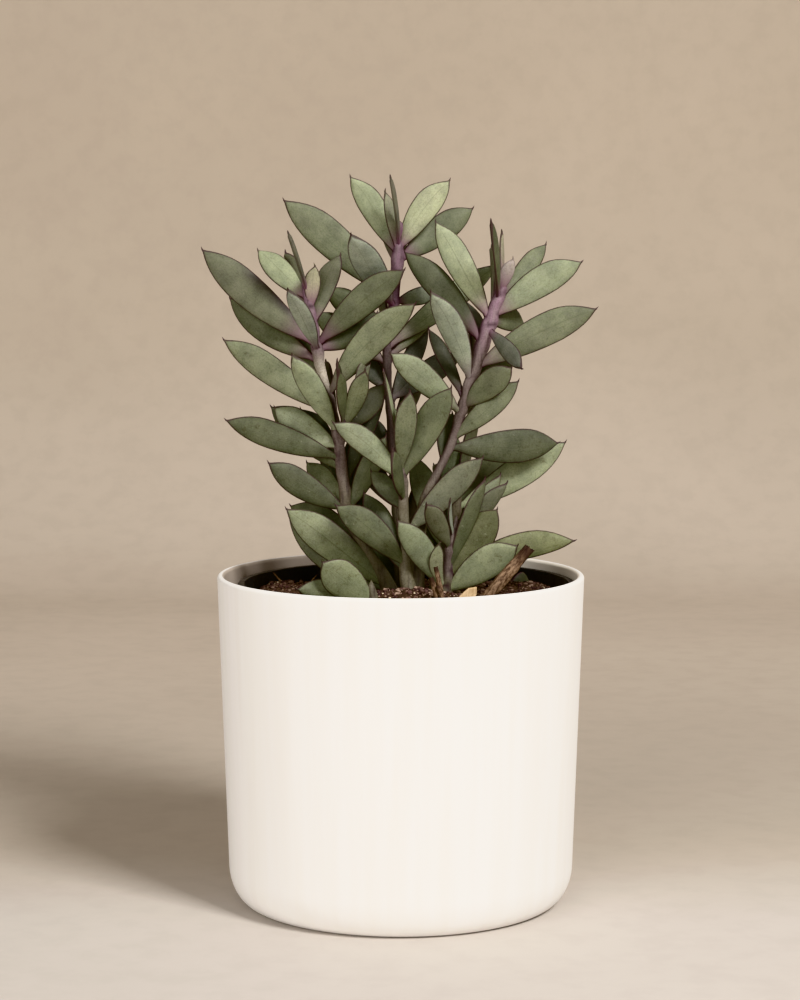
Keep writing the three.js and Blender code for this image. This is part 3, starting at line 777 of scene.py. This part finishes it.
def backdrop_material():
    """Warm paper whose tint changes with depth on the floor and is even on the wall."""
    material, tree, shader, place = new_material("studio_sweep")
    _, y, z = three_parts(tree, place)
    cloudy = noise_at(tree, place, 3.2, 4, 0.6)
    weave = noise_at(tree, place, 60, 3, 0.6)
    rear = layer(tree, rgba(FLOOR_MIDDLE), y, 0.15, 0.65, 1, FLOOR_REAR)
    wall = layer(tree, rear, z, 0.01, 0.2, 1, WALL_TINT)
    colour = mix(tree, between(tree, y, -0.05, 0.1), rgba(FLOOR_FRONT), wall)
    colour = layer(tree, colour, cloudy, 0.35, 0.65, 0.08, (0.2, 0.16, 0.12))
    colour = layer(tree, colour, weave, 0.4, 0.7, 0.06, (0.2, 0.17, 0.14))
    feed(tree, shader, Base_Color=colour, Roughness=between(tree, weave, 0.3, 0.7, 0.85, 0.95),
         Specular_IOR_Level=0.1)
    return material


# Plant

def along_stem(path, height):
    """Centre and radius of a stem at a height: a smooth curve through the points of its path."""
    z = min(max(height, path[0][2]), path[-1][2])
    i = 0
    while i < len(path) - 2 and path[i + 1][2] <= z:
        i += 1

    def slope(k, axis):
        before = path[max(k - 1, 0)]
        after = path[min(k + 1, len(path) - 1)]
        return (after[axis] - before[axis]) / (after[2] - before[2])

    span = path[i + 1][2] - path[i][2]
    t = (z - path[i][2]) / span

    def blend(axis):
        return ((2 * t**3 - 3 * t**2 + 1) * path[i][axis]
                + (t**3 - 2 * t**2 + t) * span * slope(i, axis)
                + (3 * t**2 - 2 * t**3) * path[i + 1][axis]
                + (t**3 - t**2) * span * slope(i + 1, axis))

    return np.array([blend(0), blend(1), z]), blend(3)


def outline(share):
    """Share of the full width at a share of the way from root to tip."""
    lower = 1 - (1 - share / LEAF_WIDEST) ** 2
    upper = 1 - np.clip((share - LEAF_WIDEST) / (1 - LEAF_WIDEST), 0, 1) ** LEAF_TIP_POWER
    return np.where(share < LEAF_WIDEST, lower, upper)


def add_leaf(shape, root, tip, width, facing, bow, tone, young, draw):
    """A fleshy blade on edge: lens shaped in section, with a fine margin and a small hooked point."""
    root, tip = np.array(root, float), np.array(tip, float)
    chord = tip - root
    length = np.linalg.norm(chord)
    along = chord / length
    turn = math.radians(facing)
    across = unit(np.cross(along, (math.sin(turn), -math.cos(turn), 0)))
    if across[2] < 0:
        across = -across
    normal = unit(np.cross(along, across))

    # Half width and half thickness at each station, and the line through their middles
    body_end = 1 - MUCRO_LENGTH / length
    body = (1 - np.cos(np.linspace(0, math.pi, LEAF_STATIONS))) / 2 * body_end
    t = np.append(body, body_end + (1 - body_end) * np.array(MUCRO_STATIONS))
    point = np.clip((1 - t) / (1 - body_end), 0, 1)
    blade = np.maximum(width * outline(t / body_end), PETIOLE_WIDTH * (1 - t) ** PETIOLE_TAPER)
    half = np.maximum(np.where(t < body_end, blade, 0), MUCRO_WIDTH * point * (t > body_end * 0.9)) / 2
    end_share = LEAF_END_THICKNESS + (1 - LEAF_END_THICKNESS) * np.sin(math.pi * t)
    thickness = min(LEAF_THICKNESS, LEAF_SLIMNESS * width)
    thick = np.minimum(thickness / 2 * end_share, LEAF_EDGE_THICKNESS + LEAF_EDGE_SLOPE * half)
    curl = draw.uniform(*LEAF_CURL)
    twist = math.radians(draw.uniform(*LEAF_TWIST)) * (t - 0.5)
    hook = MUCRO_HOOK * smoothstep(HOOK_START, body_end, t) * point
    lift = bow * 4 * t * (1 - t) - hook
    sway = curl * 4 * t * (1 - t)
    middle = root + np.outer(t, chord) + np.outer(lift, across) + np.outer(sway, normal)

    # A ring of points round each station
    angle = round_angles(LEAF_SIDES)
    side = np.cos(angle)
    edge_power, belly_power = LEAF_LENS
    depth = np.sign(np.sin(angle)) * (1 - np.abs(side) ** edge_power) ** belly_power
    turned_across = np.outer(np.cos(twist), across) + np.outer(np.sin(twist), normal)
    turned_normal = np.outer(np.cos(twist), normal) - np.outer(np.sin(twist), across)
    points = (middle[:, None]
              + turned_across[:, None] * (half[:, None] * side)[:, :, None]
              + turned_normal[:, None] * (thick[:, None] * depth)[:, :, None]).reshape(-1, 3)
    stations = len(t)
    blade_values = np.stack([
        np.tile(side, stations),
        np.repeat(t, LEAF_SIDES),
        ((1 - np.abs(side)) * half[:, None]).ravel(),
    ], axis=1)
    shade = draw.uniform(*LEAF_SHADE)
    shape.add(
        np.vstack([points, tip]),
        tube_faces(stations, LEAF_SIDES, True),
        tone=np.array(TONES[tone]) * shade,
        blade=np.vstack([blade_values, (0, 1, 0)]),
        traits=(young, draw.uniform(*LEAF_RIB), draw.random()),
        # The first of these is the painted shade on the upper edge
        marks=(PAINTED_EDGE_SHADE.get(tone, 0), FLUSH.get(tone, LEAF_FLUSH), MARGIN_FADE.get(tone, 0)),
    )


def add_stem(shape, node_name, path, roots, from_soil, draw):
    """A round stem with a swelling and a dark crease of painted shade at each leaf's root."""
    foot = path[0][2]
    top = path[-1][2]
    steps = round((top - foot) / STEM_STEP)
    angle = round_angles(STEM_SIDES)
    seed = draw.random()
    youth = STEM_YOUTH.get(node_name, 0)
    darker = 1 - STEM_PAINTED_LIGHT.get(node_name, 1)
    bare_low, bare_high = BARE_STRETCH.get(node_name, (0, 0))
    bare_span = bare_high - bare_low + 0.01  # never zero
    rings, creases, rows = [], [], []
    if from_soil:
        centre, radius = along_stem(path, foot)
        centre[2] = SOIL_CROWN - STEM_DEPTH
        rings.append(centre + radius * ring_directions(angle))
        creases.append(np.zeros(STEM_SIDES))
        rows.append((1, 1, 0))
    for i in range(steps + 1):
        height = foot + (top - foot) * i / steps
        centre, radius = along_stem(path, height)
        swell = np.zeros(STEM_SIDES)
        crease = np.zeros(STEM_SIDES)
        for root_height, direction in roots:
            facing = np.clip(np.cos(angle - direction), 0, 1)
            off_swell = (height - root_height - SWELL["rise"]) / SWELL["reach"]
            off_crease = (height - root_height - CREASE["rise"]) / CREASE["reach"]
            swell += SWELL["size"] * math.exp(-off_swell**2) * facing
            # Painted shade in a crease just above the root
            crease += math.exp(-off_crease**2) * facing**2
        wobble = sum(size * np.sin(waves * angle + height * turn + seed * shift)
                     for size, waves, turn, shift in WOBBLES)
        rings.append(centre + (radius * (1 + wobble) + swell)[:, None] * ring_directions(angle))
        creases.append(np.clip(crease, 0, 1))
        rows.append((
            max(0, smoothstep(*AGE_HEIGHTS, height) - youth * smoothstep(*YOUTH_HEIGHTS, height)),
            1 - darker * smoothstep(*LIGHT_HEIGHTS, height),
            BARE_MOST * max(0, 1 - abs(2 * height - bare_low - bare_high) / bare_span),
        ))
    ages, lights, bare = np.array(rows, float).T
    apex = along_stem(path, top)[0] + (0, 0, BUD_HEIGHT)
    values = np.stack([
        np.append(np.repeat(ages, STEM_SIDES), ages[-1]),
        np.append(np.concatenate(creases), 0),
        np.append(np.repeat(lights, STEM_SIDES), 1),
    ], axis=1)
    shape.add(
        np.vstack([*rings, apex]),
        tube_faces(len(rings), STEM_SIDES, True),
        stem=values,
        bare=np.append(np.repeat(bare, STEM_SIDES), 0)[:, None],
    )


def rear_leaf(height, azimuth):
    """Width of a rear leaf at a height, and the way from its root to its tip."""
    share = (height - REAR_LOW[0]) / (REAR_HIGH[0] - REAR_LOW[0])
    length, width, rise = (low + share * (high - low) for low, high in zip(REAR_LOW[1:], REAR_HIGH[1:]))
    turn = math.radians(azimuth)
    tilt = math.radians(rise)
    way = np.array([math.cos(tilt) * math.cos(turn), math.cos(tilt) * math.sin(turn), math.sin(tilt)])
    return width, length * way


def leafy_stem(node_name, stems, skin, bark):
    draw = random.Random(f"{SEED}{node_name}")
    leaf_shape, stem_shape = Shape(), Shape()
    for index, (path, shown, rear) in enumerate(stems):
        placed = [(height, (x, y, z), *rest) for height, x, y, z, *rest in shown]
        for height, azimuth in rear:
            width, way = rear_leaf(height, azimuth)
            tone = REAR_TOP_TONE if height > REAR_TOP_FROM else draw.choice(REAR_TONES)
            placed.append((height, along_stem(path, height)[0] + way, width, azimuth, REAR_BOW, tone))
        roots = []
        for height, tip, width, facing, bow, tone in placed:
            root = along_stem(path, height)[0]
            young = smoothstep(*BLUSH_HEIGHTS, height)
            add_leaf(leaf_shape, root, tip, width, facing, bow, tone, young, draw)
            roots.append((height, math.atan2(tip[1] - root[1], tip[0] - root[0])))
        add_stem(stem_shape, node_name, path, roots, index == 0, draw)
    leaves = leaf_shape.build(f"{node_name}_leaves", skin)
    stalk = stem_shape.build(f"{node_name}_stalk", bark)
    for piece in (leaves, stalk):
        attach(piece, BODY)
    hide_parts(node_name)


# Pots

def corner(foot_radius, foot_height):
    reach = POT_CORNER_RADIUS - POT_FOOT_RADIUS
    return quarter_arc((foot_radius, foot_height), reach, POT_CORNER_HEIGHT - foot_height, CORNER_STEPS)


def straight(start, end, steps):
    """Points from start to end, without either."""
    return [tuple(a + (b - a) * i / steps for a, b in zip(start, end)) for i in range(1, steps)]


def cover_pot(material):
    half = POT_WALL / 2
    rim = [
        (POT_RIM_RADIUS - half + half * math.cos(a), POT_HEIGHT - half + half * math.sin(a))
        for a in np.linspace(0, math.pi, RIM_POINTS)
    ]
    outer = corner(POT_FOOT_RADIUS, 0)
    inner = corner(POT_FOOT_RADIUS - POT_WALL, POT_FLOOR)[::-1]
    profile = [
        (0, 0),
        *outer,
        *straight(outer[-1], rim[0], OUTSIDE_STEPS),
        *rim,
        *straight(rim[-1], inner[0], INSIDE_STEPS),
        *inner,
        (0, POT_FLOOR),
    ]
    return Shape().add(*turned(profile, POT_SIDES)).build("cover_pot_body", material)


def grower_radius(height):
    """Outer radius of the grower pot's wall at a height."""
    slope = (GROWER_LIP_RADIUS - GROWER_WALL - GROWER_BASE_RADIUS) / (GROWER_TOP - GROWER_FOOT)
    return GROWER_BASE_RADIUS + slope * (height - GROWER_FOOT)


def grower_pot(material):
    lip_foot = GROWER_TOP - GROWER_LIP_HEIGHT
    floor = GROWER_FOOT + GROWER_WALL
    side = (grower_radius(lip_foot), lip_foot)
    mouth = (grower_radius(GROWER_TOP) - GROWER_WALL, GROWER_TOP)
    inside = (grower_radius(floor) - GROWER_WALL, floor)
    profile = [
        (0, GROWER_FOOT),
        (GROWER_BASE_RADIUS, GROWER_FOOT),
        *straight((GROWER_BASE_RADIUS, GROWER_FOOT), side, GROWER_STEPS),
        side,
        (grower_radius(lip_foot) + GROWER_WALL, lip_foot + GROWER_LIP_BEVEL),
        (GROWER_LIP_RADIUS, GROWER_TOP - GAP),
        (GROWER_LIP_RADIUS - GAP, GROWER_TOP),
        mouth,
        *straight(mouth, inside, GROWER_STEPS),
        inside,
        (0, floor),
    ]
    shape = Shape().add(*turned(profile, GROWER_SIDES))
    piece = shape.build("grower_pot_shell", material, smooth=False, shift=GROWER_SHIFT)
    cutter_shape = Shape()
    directions = ring_directions(round_angles(DRAIN_SIDES))
    for i in range(DRAIN_HOLES):
        turn = (i + 0.5) / DRAIN_HOLES * 2 * math.pi
        centre = np.array([DRAIN_CIRCLE * math.cos(turn), DRAIN_CIRCLE * math.sin(turn), 0])
        rings = [
            centre + (0, 0, GROWER_FOOT + rise) + DRAIN_RADIUS * directions
            for rise in (-2 * GROWER_WALL, 2 * GROWER_WALL)
        ]
        cutter_shape.add(np.vstack(rings), tube_faces(2, DRAIN_SIDES, False))
    cutter = cutter_shape.build("drain_cutter", material, shift=GROWER_SHIFT)
    cut = piece.modifiers.new("drains", "BOOLEAN")
    cut.operation = "DIFFERENCE"
    cut.object = cutter
    apply_modifiers(piece)
    bpy.data.objects.remove(cutter)
    return piece


def apply_modifiers(piece):
    bpy.context.view_layer.update()
    evaluated = piece.evaluated_get(bpy.context.evaluated_depsgraph_get())
    finished = bpy.data.meshes.new_from_object(evaluated)
    piece.modifiers.clear()
    piece.data = finished


# Soil

# Low heaps of soil in the grower pot's own axes: x, y, reach in x, reach in y, height
HEAPS = [(0, -20, 24, 13, 4.6), (-49, 9, 15, 26, 4.4), (46, 8, 20, 26, 4.4)]

# Lumps, each (scale, seed, height), and how steeply lumps and heaps fade out at the pot's wall
LUMPS = [(0.12, 3, 1.1), (0.4, 7, 0.5)]
LUMP_FADE = 6
HEAP_FADE = 12


def soil_radius(height):
    return grower_radius(height) - GROWER_WALL - GAP


def mound(x, y, at_x, at_y, reach_x, reach_y):
    """1 at a place, and less with the distance from it."""
    return math.exp(-((x - at_x) / reach_x) ** 2 - ((y - at_y) / reach_y) ** 2)


def soil_height(x, y):
    """Height of the crowned soil, with its heaps and lumps, at a place in the grower pot's own axes."""
    share = min(math.hypot(x, y) / soil_radius(SOIL_EDGE), 1)
    crown = SOIL_CROWN + (SOIL_EDGE - SOIL_CROWN) * share**2
    lumps = sum(
        noise.noise(Vector((x * scale, y * scale, seed))) * height for scale, seed, height in LUMPS
    )
    heaps = sum(height * mound(x, y, *place) for *place, height in HEAPS)
    return crown + lumps * min(1, (1 - share) * LUMP_FADE) + heaps * min(1, (1 - share) * HEAP_FADE)


def soil_bed(material):
    foot = GROWER_FOOT + GROWER_WALL + GAP
    bottom = soil_radius(foot)
    edge = soil_radius(SOIL_EDGE)
    angle = round_angles(SOIL_SIDES)
    points = [(0, 0, foot)]
    wall = [(bottom, foot), *straight((bottom, foot), (edge, SOIL_EDGE), SOIL_WALL_STEPS)]
    for radius, height in wall:
        points.extend((radius * math.cos(a), radius * math.sin(a), height) for a in angle)
    for i in range(SOIL_RINGS):
        radius = edge * (1 - i / SOIL_RINGS)
        for a in angle:
            x = radius * math.cos(a)
            y = radius * math.sin(a)
            points.append((x, y, soil_height(x, y)))
    points.append((0, 0, soil_height(0, 0)))
    faces = turned_faces(SOIL_WALL_STEPS + SOIL_RINGS, SOIL_SIDES)
    shape = Shape().add(points, faces, tone=SOIL_TONE)
    return shape.build("soil_bed", material, shift=GROWER_SHIFT)


def ball(level):
    """Points and faces of a ball of radius 1."""
    mesh = bpy.data.meshes.new("ball")
    tool = bmesh.new()
    bmesh.ops.create_icosphere(tool, subdivisions=level, radius=1)
    tool.to_mesh(mesh)
    tool.free()
    points = np.array([v.co for v in mesh.vertices])
    faces = [tuple(p.vertices) for p in mesh.polygons]
    bpy.data.meshes.remove(mesh)
    return points, faces


CRUMBS = 8800
CRUMB_TONES = [
    (0.07, 0.042, 0.038), (0.035, 0.021, 0.022), (0.12, 0.076, 0.063), (0.23, 0.162, 0.125),
]
PALE_TONE = (0.55, 0.45, 0.33)
PALE_SHARE = 0.025
FINE_RADII = (0.2, 0.5)
COARSE_RADII = (0.5, 1.05)
COARSE_EVERY = 7
SMOOTH_FROM = 0.95
CRUMB_STRETCHES = ((0.7, 1.4), (0.7, 1.3), (0.5, 0.95))
CRUMB_LUMP_SCALE = 1.7
CRUMB_LUMP_SIZE = 0.5
CRUMB_RISE = 0.25
CRUMB_CLEARANCE = 0.4

# Lighter crumbs at the front middle of the soil, painted light where the soil is lit: x, y, reach in x,
# reach in y, lift
LIT_SOIL_PATCH = (4, -26, 26, 18, 1.1)


def soil_crumbs(material):
    draw = random.Random(SEED)
    edge = soil_radius(SOIL_EDGE)
    plain = ball(1)
    smooth = ball(2)
    *lit_place, lift = LIT_SOIL_PATCH
    shape = Shape()
    for index in range(CRUMBS):
        radius = draw.uniform(*(FINE_RADII if index % COARSE_EVERY else COARSE_RADII))
        reach = (edge - radius - CRUMB_CLEARANCE) * math.sqrt(draw.random())
        turn = draw.uniform(0, 2 * math.pi)
        x = reach * math.cos(turn)
        y = reach * math.sin(turn)
        points, faces = smooth if radius > SMOOTH_FROM else plain
        stretch = np.array([draw.uniform(*span) for span in CRUMB_STRETCHES])
        seat = Vector((index, 0, 0))
        lumps = np.array([noise.noise(Vector(p) * CRUMB_LUMP_SCALE + seat) for p in points])
        spin = draw.uniform(0, math.pi)
        cos, sin = math.cos(spin), math.sin(spin)
        body = points * (1 + CRUMB_LUMP_SIZE * lumps)[:, None] * stretch * radius
        body = body @ np.array([[cos, sin, 0], [-sin, cos, 0], [0, 0, 1]])
        tone = PALE_TONE if draw.random() < PALE_SHARE else draw.choice(CRUMB_TONES)
        # Painted light: crumbs near the front middle are lighter
        lit_soil = 1 + lift * mound(x, y, *lit_place)
        place = (x, y, soil_height(x, y) + radius * CRUMB_RISE)
        shape.add(body + place, faces, tone=np.array(tone) * lit_soil)
    return shape.build("soil_crumbs", material, shift=GROWER_SHIFT)


# Loose bits on the soil

# Each stick is (foot, head, width, depth)
BARK = [((22.5, -32, 110), (48, -31, 140.5), 4.4, 3.6)]
TWIG = [
    ((16.5, -30.5, 110), (11.2, -29.5, 129), 1.9, 1.6),
    ((16.3, -30, 117), (12.9, -29, 132.9), 1.8, 1.4),
    ((17.8, -31.5, 117), (13.4, -31, 126), 1.5, 1.3),
]
STRAWS = [
    ((-45.2, 19, 119), (-49.9, 20, 124.3), 0.6, 0.5),
    ((-36, 20, 119.5), (-32.5, 20, 123.4), 0.35, 0.3),
]
BARK_ROUGHNESS = 0.3
TWIG_ROUGHNESS = 0.35
STRAW_ROUGHNESS = 0.2
STICK_SIDES = 24
STICK_STEPS = 48

# A stick's blunt head: the share of its length where it starts, how much it narrows, how ragged its
# edge is, and where its middle ends
HEAD_START = 0.86
HEAD_TAPER = 0.12
HEAD_RAGGED = 0.03
HEAD_MIDDLE = 0.965

CHIP_PLACE = (24.9, -25, 121.6)
CHIP_SIZE = (6.4, 1.2, 7)
CHIP_TURN = (10, 6, 12)
CHIP_OUTLINE = [(-0.45, -0.5), (0.3, -0.5), (0.5, 0.1), (0.46, 0.5), (-0.02, 0.4), (-0.5, -0.1)]
CHIP_BEVEL = 0.25

# The shed leaf is (root, tip, width, facing, bow, tone, youth)
SHED_LEAF = ((41.5, 12, 119.3), (50.8, 20, 120.6), 7.6, 35, 1, "dark", 0)
SHED_LEAF_SEED = SEED + 5


def add_stick(shape, foot, head, width, depth, rough):
    """A ridged, knobbly splinter that breaks off bluntly at its head."""
    start = np.array(foot, float)
    along = np.array(head, float) - start
    length = np.linalg.norm(along)
    side = unit(np.cross((0, 1, 0), along))
    back = unit(np.cross(along, side))
    points, grain, wear = [], [], []
    for i in range(STICK_STEPS + 1):
        share = i / STICK_STEPS
        ragged = smoothstep(HEAD_START, 1, share)
        for a in round_angles(STICK_SIDES):
            cos, sin = math.cos(a), math.sin(a)
            ridge = noise.noise(Vector((cos * 1.8, sin * 1.8, share * 4 + width)))
            knobs = noise.noise(Vector((cos * 4, sin * 4, share * length / 2)))
            jag = noise.noise(Vector((cos * 2.4, sin * 2.4, 5)))
            grow = (1 + rough * ridge + rough * 0.6 * knobs) * (1 - HEAD_TAPER * ragged)
            height = share - ragged * HEAD_RAGGED * (0.6 + 1.5 * jag)
            offset = side * cos * width / 2 * grow + back * sin * depth / 2 * grow
            points.append(start + along * height + offset)
            grain.append((cos * width * MM, sin * width * MM, height * length * MM))
            wear.append((share, 0, 0))
    points.append(start + along * HEAD_MIDDLE)
    grain.append((0, 0, length * MM))
    wear.append((1, 0, 0))
    faces = tube_faces(STICK_STEPS + 1, STICK_SIDES, True)
    shape.add(np.array(points), faces, grain=np.array(grain), wear=np.array(wear))


def sticks(name, specs, rough, material):
    shape = Shape()
    for spec in specs:
        add_stick(shape, *spec, rough)
    return shape.build(name, material)


def wood_chip(material):
    length, thickness, height = CHIP_SIZE
    ring = [(a * length, b * height) for a, b in CHIP_OUTLINE]
    points = [(x, y, z) for y in (0, -thickness) for x, z in ring]
    faces = tube_faces(2, len(ring), False)
    shape = Shape().add(points, faces, grain=np.array(points) * MM, wear=(0, 0, 0))
    piece = shape.build("wood_chip_flake", material, smooth=False)
    piece.location = Vector(CHIP_PLACE) * MM
    piece.rotation_euler = [math.radians(a) for a in CHIP_TURN]
    bevel = piece.modifiers.new("soft_edges", "BEVEL")
    bevel.width = CHIP_BEVEL * MM
    bevel.segments = 2
    apply_modifiers(piece)
    return piece


def shed_leaf(material):
    shape = Shape()
    add_leaf(shape, *SHED_LEAF, random.Random(SHED_LEAF_SEED))
    return shape.build("shed_leaf_blade", material)


# Stage

SWEEP_REACH = 2500
SWEEP_START = 800
SWEEP_RADIUS = 350
SWEEP_STEPS = 16
SWEEP_HEIGHT = 2000

# Each light is (name, azimuth, elevation, distance in metres, size, power, colour)
LIGHTS = [
    ("key", 37, 38, 1.6, 0.4, 30.4, (1, 0.99, 0.972)),
    ("fill", -27, 12, 1.9, 1.3, 23.6, (1, 0.97, 0.94)),
]
LIGHT_TARGET = (0, 0, 0.16)
WORLD_COLOUR = (1, 0.955, 0.9)
WORLD_STRENGTH = 0.36


def sweep(material):
    """A floor that curves up into a backdrop."""
    arc = quarter_arc((SWEEP_START, 0), SWEEP_RADIUS, SWEEP_RADIUS, SWEEP_STEPS)
    profile = [(-SWEEP_REACH, 0), *arc, (SWEEP_START + SWEEP_RADIUS, SWEEP_HEIGHT)]
    points = [(x, y, z) for y, z in profile for x in (-SWEEP_REACH, SWEEP_REACH)]
    faces = [(2 * i, 2 * i + 1, 2 * i + 3, 2 * i + 2) for i in range(len(profile) - 1)]
    floor = Shape().add(points, faces).build("sweep", material)


def area_light(name, azimuth, elevation, distance, size, power, colour):
    """A soft square light that looks at the plant. Azimuth 0 is the front and 90 the right."""
    turn = math.radians(azimuth)
    tilt = math.radians(elevation)
    away = Vector((math.sin(turn) * math.cos(tilt), -math.cos(turn) * math.cos(tilt), math.sin(tilt)))
    data = bpy.data.lights.new(name, "AREA")
    data.shape = "SQUARE"
    data.size = size
    data.energy = power
    data.color = colour
    lamp = new_object(name, data)
    lamp.location = Vector(LIGHT_TARGET) + away * distance
    lamp.rotation_euler = (-away).to_track_quat("-Z", "Y").to_euler()


def lights():
    for numbers in LIGHTS:
        area_light(*numbers)
    world = bpy.data.worlds.new("studio")
    world.use_nodes = True
    background = world.node_tree.nodes["Background"]
    background.inputs["Color"].default_value = rgba(WORLD_COLOUR)
    background.inputs["Strength"].default_value = WORLD_STRENGTH
    bpy.context.scene.world = world
    bpy.context.scene.view_settings.view_transform = "Khronos PBR Neutral"


def camera():
    data = bpy.data.cameras.new("camera")
    data.sensor_width = CAMERA_SENSOR
    data.lens = CAMERA_LENS
    seat = new_object("camera", data)
    seat.location = CAMERA_PLACE
    seat.rotation_euler = (math.radians(90 - CAMERA_TILT), 0, 0)
    bpy.context.scene.camera = seat


def stand_for(piece, node_name):
    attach(piece, BODY)
    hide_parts(node_name)


camera()
lights()
sweep(backdrop_material())

skin = leaf_material()
stalk_skin = stem_material()
for plant_node, plant_stems in PLANT.items():
    leafy_stem(plant_node, plant_stems, skin, stalk_skin)
stand_for(shed_leaf(skin), "shed_leaf")

stand_for(cover_pot(ceramic_material()), "cover_pot")
stand_for(grower_pot(plastic_material()), "grower_pot")

earth = soil_material()
stand_for(soil_bed(earth), "soil")
crumbs = soil_crumbs(earth)
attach(crumbs, BODY)

bark_wood = wood_material("bark_wood", *BARK_WOOD)
stand_for(sticks("bark_stick_split", BARK, BARK_ROUGHNESS, bark_wood), "bark_stick")
stand_for(sticks("twig_split", TWIG, TWIG_ROUGHNESS, bark_wood), "twig")
stand_for(wood_chip(wood_material("pale_wood", *PALE_WOOD)), "wood_chip")
straws = sticks("soil_straws", STRAWS, STRAW_ROUGHNESS, bark_wood)
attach(straws, BODY)
